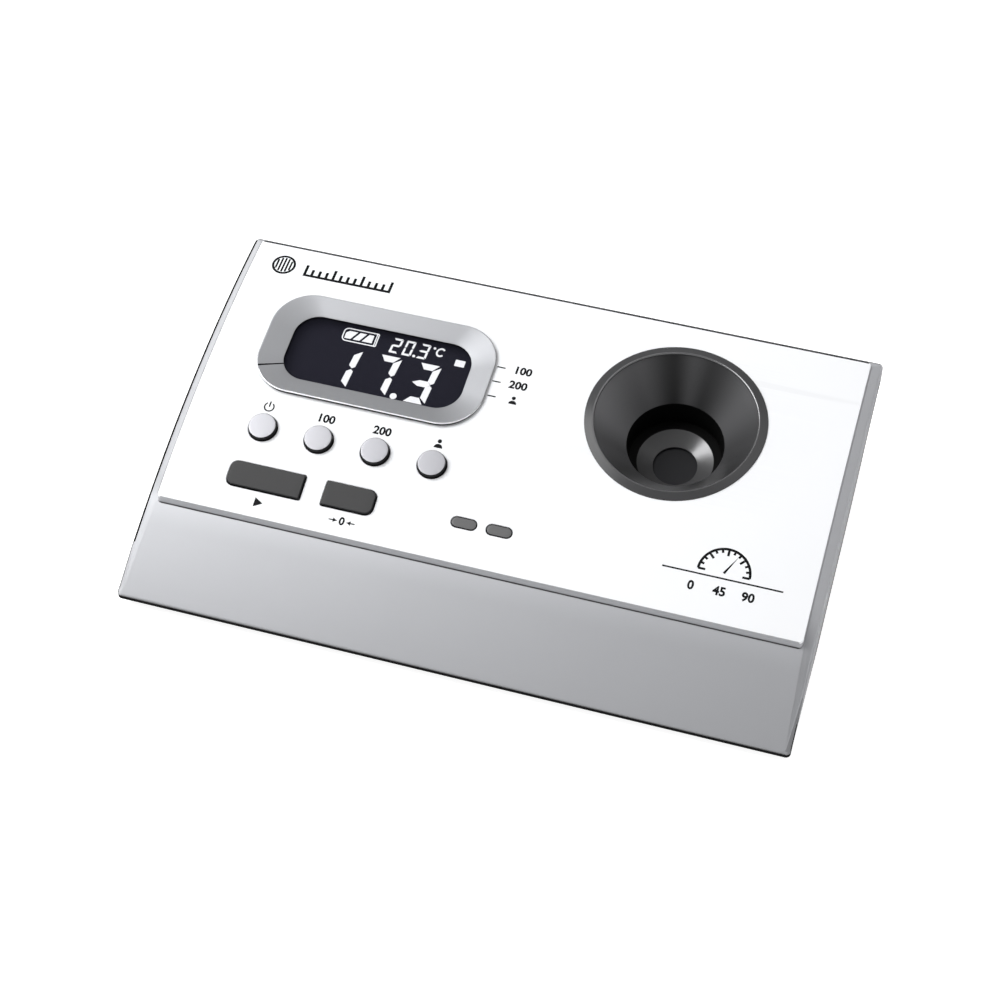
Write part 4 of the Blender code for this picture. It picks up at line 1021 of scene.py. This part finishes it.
def lower_cone(place, seat, wall):
    aperture_level, bottom = -21.3 * mm, -22.8 * mm
    aperture, inner, recess, ledge = 5.7 * mm, 9.8 * mm, 7.4 * mm, 12.0 * mm
    flange, disc, rim = 0.4 * mm, 7.1 * mm, 0.25 * mm
    profile = [
        (ledge, seat),
        *arc((inner + 0.3 * mm, seat - 0.3 * mm), 0.3 * mm, spread(90, 150, 3)),
        *arc((aperture + 0.2 * mm, aperture_level - 0.15 * mm), 0.2 * mm, spread(120, 180, 3)),
        (aperture, aperture_level - 0.3 * mm),
        (recess, aperture_level - 0.3 * mm),
        (recess, bottom),
        (wall, bottom),
        (wall, seat - flange),
        (ledge, seat - flange),
    ]
    cone = new_object("lower_cone", turned(profile, WELL_STEPS), place)
    screw_radius, reach, length = 17.6 * mm, 19.8 * mm, 9 * mm  # of the two ears that hold the cone
    for side in (-1, 1):
        outline = shifted(rounded_box(5 * mm, length, 2 * mm, steps=4), 0, side * (reach - length / 2))
        ear = moved(prism(outline, bottom, bottom + 1.6 * mm), place)
        combine(cone, "UNION", [ear])
        hole = prism(circle(1.2 * mm, 24, (0, side * screw_radius)), bottom - mm, bottom + 3 * mm)
        combine(cone, "DIFFERENCE", [moved(hole, place)])
    # The ledge takes the bore's black, and so does the floor of the slot beside it, where this is painted shade.
    paint(cone, place, lambda middle, normal: middle.z > seat - flange - 0.05 * mm)
    dress(cone, [LOWER_CONE, BORE], "console", ["aperture_cone"], sharp=40)
    top = bottom + 0.7 * mm
    profile = [(0, bottom), (disc - rim, bottom), (disc, bottom + rim), (disc, top - rim), (disc - rim, top), (0, top)]
    dark_window = new_object("aperture_glass", turned(profile), place)
    dress(dark_window, WELL_GLASS, "console", ["well_window"])


# ---- Printed marks ----
INK_LOW, INK_HIGH = 0.004 * mm, 0.02 * mm


def bar(x0, y0, x1, y1):
    return prism([(x0, y0), (x1, y0), (x1, y1), (x0, y1)], INK_LOW, INK_HIGH)


RING_STEPS = 40


def ring(radius, thick):
    outer, inner = (circle(radius + side * thick / 2, RING_STEPS) for side in (1, -1))
    return stacked([(outer, INK_LOW), (outer, INK_HIGH), (inner, INK_HIGH), (inner, INK_LOW)], ring=True)


def part_ring(radius, thick, start, end):
    angles = spread(start, end, RING_STEPS)
    outline = arc((0, 0), radius + thick / 2, angles) + arc((0, 0), radius - thick / 2, angles[::-1])
    return prism(outline, INK_LOW, INK_HIGH)


def numbers(text, height):
    """Upright numerals as closed shapes, centred on the origin."""
    curve = bpy.data.curves.new("numbers", "FONT")
    curve.body, curve.size = text, height / 0.7
    curve.align_x, curve.align_y = "CENTER", "CENTER"
    curve.extrude = (INK_HIGH - INK_LOW) / 2
    curve.offset = 0.05 * height
    curve.resolution_u = 3
    holder = add_object("numbers", curve)
    evaluated = holder.evaluated_get(bpy.context.evaluated_depsgraph_get())
    mesh = bpy.data.meshes.new_from_object(evaluated)
    bm = bmesh.new()
    bm.from_mesh(mesh)
    bmesh.ops.remove_doubles(bm, verts=bm.verts, dist=1e-7)
    bpy.data.objects.remove(holder)
    bpy.data.curves.remove(curve)
    bpy.data.meshes.remove(mesh)
    return moved(bm, Matrix.Translation((0, 0, (INK_LOW + INK_HIGH) / 2)))


def power_symbol(size):
    return [part_ring(size * 0.42, size * 0.13, 125, 415), bar(-size * 0.065, 0, size * 0.065, size * 0.55)]


def user_symbol(size):
    head = prism(circle(size * 0.2, 24, (0, size * 0.26)), INK_LOW, INK_HIGH)
    shoulders = arc((0, -size * 0.42), size * 0.4, spread(0, 180, 20))
    return [head, prism(shoulders, INK_LOW, INK_HIGH)]


def start_symbol(size):
    return [prism([(-size * 0.4, -size * 0.5), (size * 0.5, 0), (-size * 0.4, size * 0.5)], INK_LOW, INK_HIGH)]


def zero_symbol(size):
    """An arrow from each side towards a nought."""
    shapes = [numbers("0", size)]
    for side in (-1, 1):
        tip, tail = side * size * 0.65, side * size * 1.7
        shapes.append(bar(min(tip, tail), -size * 0.07, max(tip, tail), size * 0.07))
        points = [(tip, 0), (tip + side * size * 0.5, size * 0.3), (tip + side * size * 0.5, -size * 0.3)]
        shapes.append(prism(points[:: side], INK_LOW, INK_HIGH))
    return shapes


def polariser_symbol(radius):
    """A disc of parallel lines, as a polarising filter is drawn."""
    shapes = [ring(radius, radius * 0.22)]
    for i in range(-2, 3):
        x = i * radius * 0.32
        reach = math.sqrt((radius * 0.84) ** 2 - x * x)
        half = radius * 0.09
        shapes.append(bar(x - half, -reach, x + half, reach))
    return shapes


def graduated_line(length, tick, thick, count):
    """A straight scale with longer marks at its ends and every fourth place."""
    shapes = [bar(-thick / 2, 0, length + thick / 2, thick)]
    for i in range(count + 1):
        x = length * i / count
        reach = tick if i % 4 == 0 else tick * 0.6
        shapes.append(bar(x - thick / 2, thick, x + thick / 2, thick + reach))
    return shapes


def dial_symbol(radius):
    """A half dial with its graduations and a pointer."""
    shapes = [part_ring(radius, radius * 0.1, 0, 180)]
    for i in range(13):
        turn = math.radians(15 * i)
        inner, outer = radius * (0.72 if i % 3 == 0 else 0.84), radius
        side = Vector((-math.sin(turn), math.cos(turn))) * radius * 0.045
        a, b = (Vector((math.cos(turn), math.sin(turn))) * reach for reach in (inner, outer))
        shapes.append(prism([a - side, b - side, b + side, a + side], INK_LOW, INK_HIGH))
    turn = math.radians(62)
    tip = Vector((math.cos(turn), math.sin(turn))) * radius * 0.9
    side = Vector((-math.sin(turn), math.cos(turn))) * radius * 0.05
    shapes.append(prism([-side, tip, side], INK_LOW, INK_HIGH))
    return shapes


def printed_marks():
    """Plain numbers and symbols in the places of the panel's lettering."""
    placed = []

    def place(shapes, across, along):
        placed.extend(wrapped(shape, across, along) for shape in shapes)

    label, above, below = 2.2 * mm, 51.1 * mm, 77.1 * mm
    place(power_symbol(2.9 * mm), BUTTON_FIRST - 0.4 * mm, above)
    place([numbers("100", label)], BUTTON_FIRST + BUTTON_PITCH, above)
    place([numbers("200", label)], BUTTON_FIRST + 2 * BUTTON_PITCH, above)
    place(user_symbol(2.8 * mm), BUTTON_FIRST + 3 * BUTTON_PITCH, above)
    place(start_symbol(2.5 * mm), KEYS["start_key"][0], below)
    place(zero_symbol(2.0 * mm), KEYS["zero_key"][0], below)
    for i, along in enumerate((25.6 * mm, 30.1 * mm, 34.6 * mm)):
        place([bar(-1.1 * mm, -0.18 * mm, 1.1 * mm, 0.18 * mm)], -7.9 * mm, along)
        shapes = [numbers(f"{i + 1}00", label)] if i < 2 else user_symbol(2.6 * mm)
        place(shapes, -2.2 * mm, along)
    place(polariser_symbol(2.9 * mm), -73.4 * mm, 7.3 * mm)
    place(graduated_line(23.5 * mm, 3.1 * mm, 0.75 * mm, 12), -67.0 * mm, 9.7 * mm)
    dial = 60 * mm
    place(dial_symbol(6.3 * mm), dial, 68.4 * mm)
    place([bar(-14.8 * mm, -0.2 * mm, 14.8 * mm, 0.2 * mm)], dial, 69.8 * mm)
    for number, offset in (("0", -7 * mm), ("45", 0.0), ("90", 7 * mm)):
        place([numbers(number, label)], dial + offset, 73.2 * mm)
    made = new_object("printed_marks", joined(placed))
    dress(made, INK, "console")


# ---- Underside ----
def nodes_called(prefix):
    """The name, the box and the centre seen from above of each CAD node whose name starts with a word."""
    for name in sorted(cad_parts):
        if name.startswith(prefix):
            low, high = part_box(name)
            yield name, low, high, (low.x + high.x) / 2, (low.y + high.y) / 2


def case_screws():
    """Pan heads with a cross recess, seen in their pockets from below."""
    for name, low, high, x, y in nodes_called("case_screw_"):
        head, shank, neck, edge = 2.6 * mm, 1.1 * mm, low.z + 1.2 * mm, 0.7 * mm
        profile = [(0, low.z), (head - edge, low.z)]
        profile += arc((head - edge, low.z + edge), edge, spread(-90, 0, 5))
        profile += [(head, neck), (shank, neck), (shank, high.z - 0.5 * mm), (0, high.z)]
        screw = new_object(f"{name}_head", turned(profile, 40), Matrix.Translation((x, y, 0)))
        half, arm, deep = 0.28 * mm, 1.45 * mm, 0.8 * mm
        slots = [
            box((x - arm, y - half, low.z - mm), (x + arm, y + half, low.z + deep)),
            box((x - half, y - arm, low.z - mm), (x + half, y + arm, low.z + deep)),
        ]
        combine(screw, "DIFFERENCE", slots)
        dress(screw, STEEL, "console", [name])


def feet():
    for name, low, high, x, y in nodes_called("foot_"):
        radius, edge, dish = (high.x - low.x) / 2, 0.6 * mm, 0.15 * mm
        profile = [(0, dish), (radius * 0.55, dish), (radius * 0.6, 0), (radius - edge, 0)]
        profile += arc((radius - edge, edge), edge, spread(-90, 0, 6))[1:]
        profile += [(radius, high.z), (0, high.z)]
        foot = new_object(f"{name}_pad", turned(profile, 56), Matrix.Translation((x, y, 0)))
        dress(foot, RUBBER, "console", [name])


def lower_shell():
    """The lower case with its side walls leaning in as the upper case's do."""
    shape = bmesh.new()
    shape.from_mesh(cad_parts["lower_case"].data)
    for vert in shape.verts:
        x, y = (abs(value) - half + CASE_CORNER for value, half in zip(vert.co, (HALF_WIDTH, HALF_DEPTH)))
        outer = (math.hypot(x, y) if min(x, y) > 0 else max(x, y)) > CASE_CORNER - 0.3 * mm
        if abs(vert.co.x) > HALF_WIDTH - 3 * mm and (outer or vert.co.z < 2 * mm):
            vert.co = wall_point(*vert.co)
    shell = new_object("lower_shell", shape)
    dress(shell, BLACK, "console", ["lower_case"], sharp=32)


# ---- Pieces whose CAD shape stays ----
KEPT = (
    (BLACK, ("battery_door", "well_retaining_ring")),
    (LCD, ("lcd_panel",)),
    (GLOW, ("lcd_backlight", "lamp_led")),
    (GREEN, ("main_board", "detector_board")),
    (CHIP, ("processor_chip", "photodiode", "temperature_sensor", "_switch")),
    (STEEL, ("optics_bracket", "stepper_motor", "screw")),
    (BRASS, ("rotor_bearing", "motor_pinion")),
    (GEAR, ("analyser_rotor",)),
    (FILM, ("analyser_polariser",)),
    (SPRING, ("_contact", "_bridge")),
    (SLEEVE, ("battery_front", "battery_back")),
)


def kept_material(name):
    """The material of the first row that has a word of the name."""
    return next(made for made, words in KEPT if any(word in name for word in words))


def dress_kept_nodes():
    for name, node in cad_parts.items():
        if node.hide_render:
            continue
        node.data.materials.clear()
        node.data.materials.append(kept_material(name))
        node.data.shade_smooth()
        node.data.set_sharp_from_angle(angle=math.radians(32))


# ---- Studio ----
# Each light's place, size and power.
LIGHTS = (("softbox", (-0.47, 0.0, 0.59), 0.5, 5.6), ("fill", (0.24, 0.22, 0.86), 0.55, 1.1))


def studio():
    floor = new_object("floor", box((-3, -3, -0.02), (3, 3, -0.0002)))
    lit = {"Emission_Color": (1, 1, 1, 1), "Emission_Strength": 0.88}
    pale = surface("floor", (0.55, 0.55, 0.55), 0.9, tint=0.004, tint_size=0.4, grain_size=2 * mm, **lit)
    floor.data.materials.append(pale)

    world = bpy.data.worlds.new("studio")
    world.use_nodes = True
    tree = world.node_tree
    background = tree.nodes["Background"]
    background.inputs["Color"].default_value = (1, 1, 1, 1)
    direction = add_node(tree, "TexCoord").outputs["Generated"]
    parts = add_node(tree, "SeparateXYZ", {"Vector": direction})
    fade = {"From Min": 0.15, "From Max": 0.6, "To Min": 0.95, "To Max": 0.27, "Value": parts.outputs["Z"]}
    strength = add_node(tree, "MapRange", fade, interpolation_type="SMOOTHSTEP")
    tree.links.new(strength.outputs["Result"], background.inputs["Strength"])
    bpy.context.scene.world = world

    for name, place, size, power in LIGHTS:
        data = bpy.data.lights.new(name, "AREA")
        data.shape, data.size, data.energy = "SQUARE", size, power
        light = add_object(name, data)
        light.location = place
        light.rotation_euler = (Vector((0, 0, 0.02)) - light.location).to_track_quat("-Z", "Y").to_euler()


CAMERA_PLACE = (0.1038, -0.3486, 0.4085)
CAMERA_RIGHT = Vector((0.9576, 0.2881, 0.0)).normalized()
CAMERA_FORWARD = Vector((-0.19439, 0.64622, -0.73798)).normalized()
CAMERA_LENS = 76.48


def camera():
    data = bpy.data.cameras.new("camera")
    data.sensor_width, data.lens = 36.0, CAMERA_LENS
    up = CAMERA_RIGHT.cross(CAMERA_FORWARD).normalized()
    turn = Matrix((CAMERA_RIGHT, up, -CAMERA_FORWARD)).transposed().to_4x4()
    made = add_object("camera", data)
    made.matrix_world = Matrix.Translation(CAMERA_PLACE) @ turn
    bpy.context.scene.camera = made
    bpy.context.scene.view_settings.view_transform = "Standard"


def main():
    camera()
    studio()
    upper_case()
    panel()
    bezel()
    window()
    display_figures()
    round_buttons()
    long_keys()
    lamps()
    sample_well()
    printed_marks()
    case_screws()
    feet()
    lower_shell()
    dress_kept_nodes()


main()
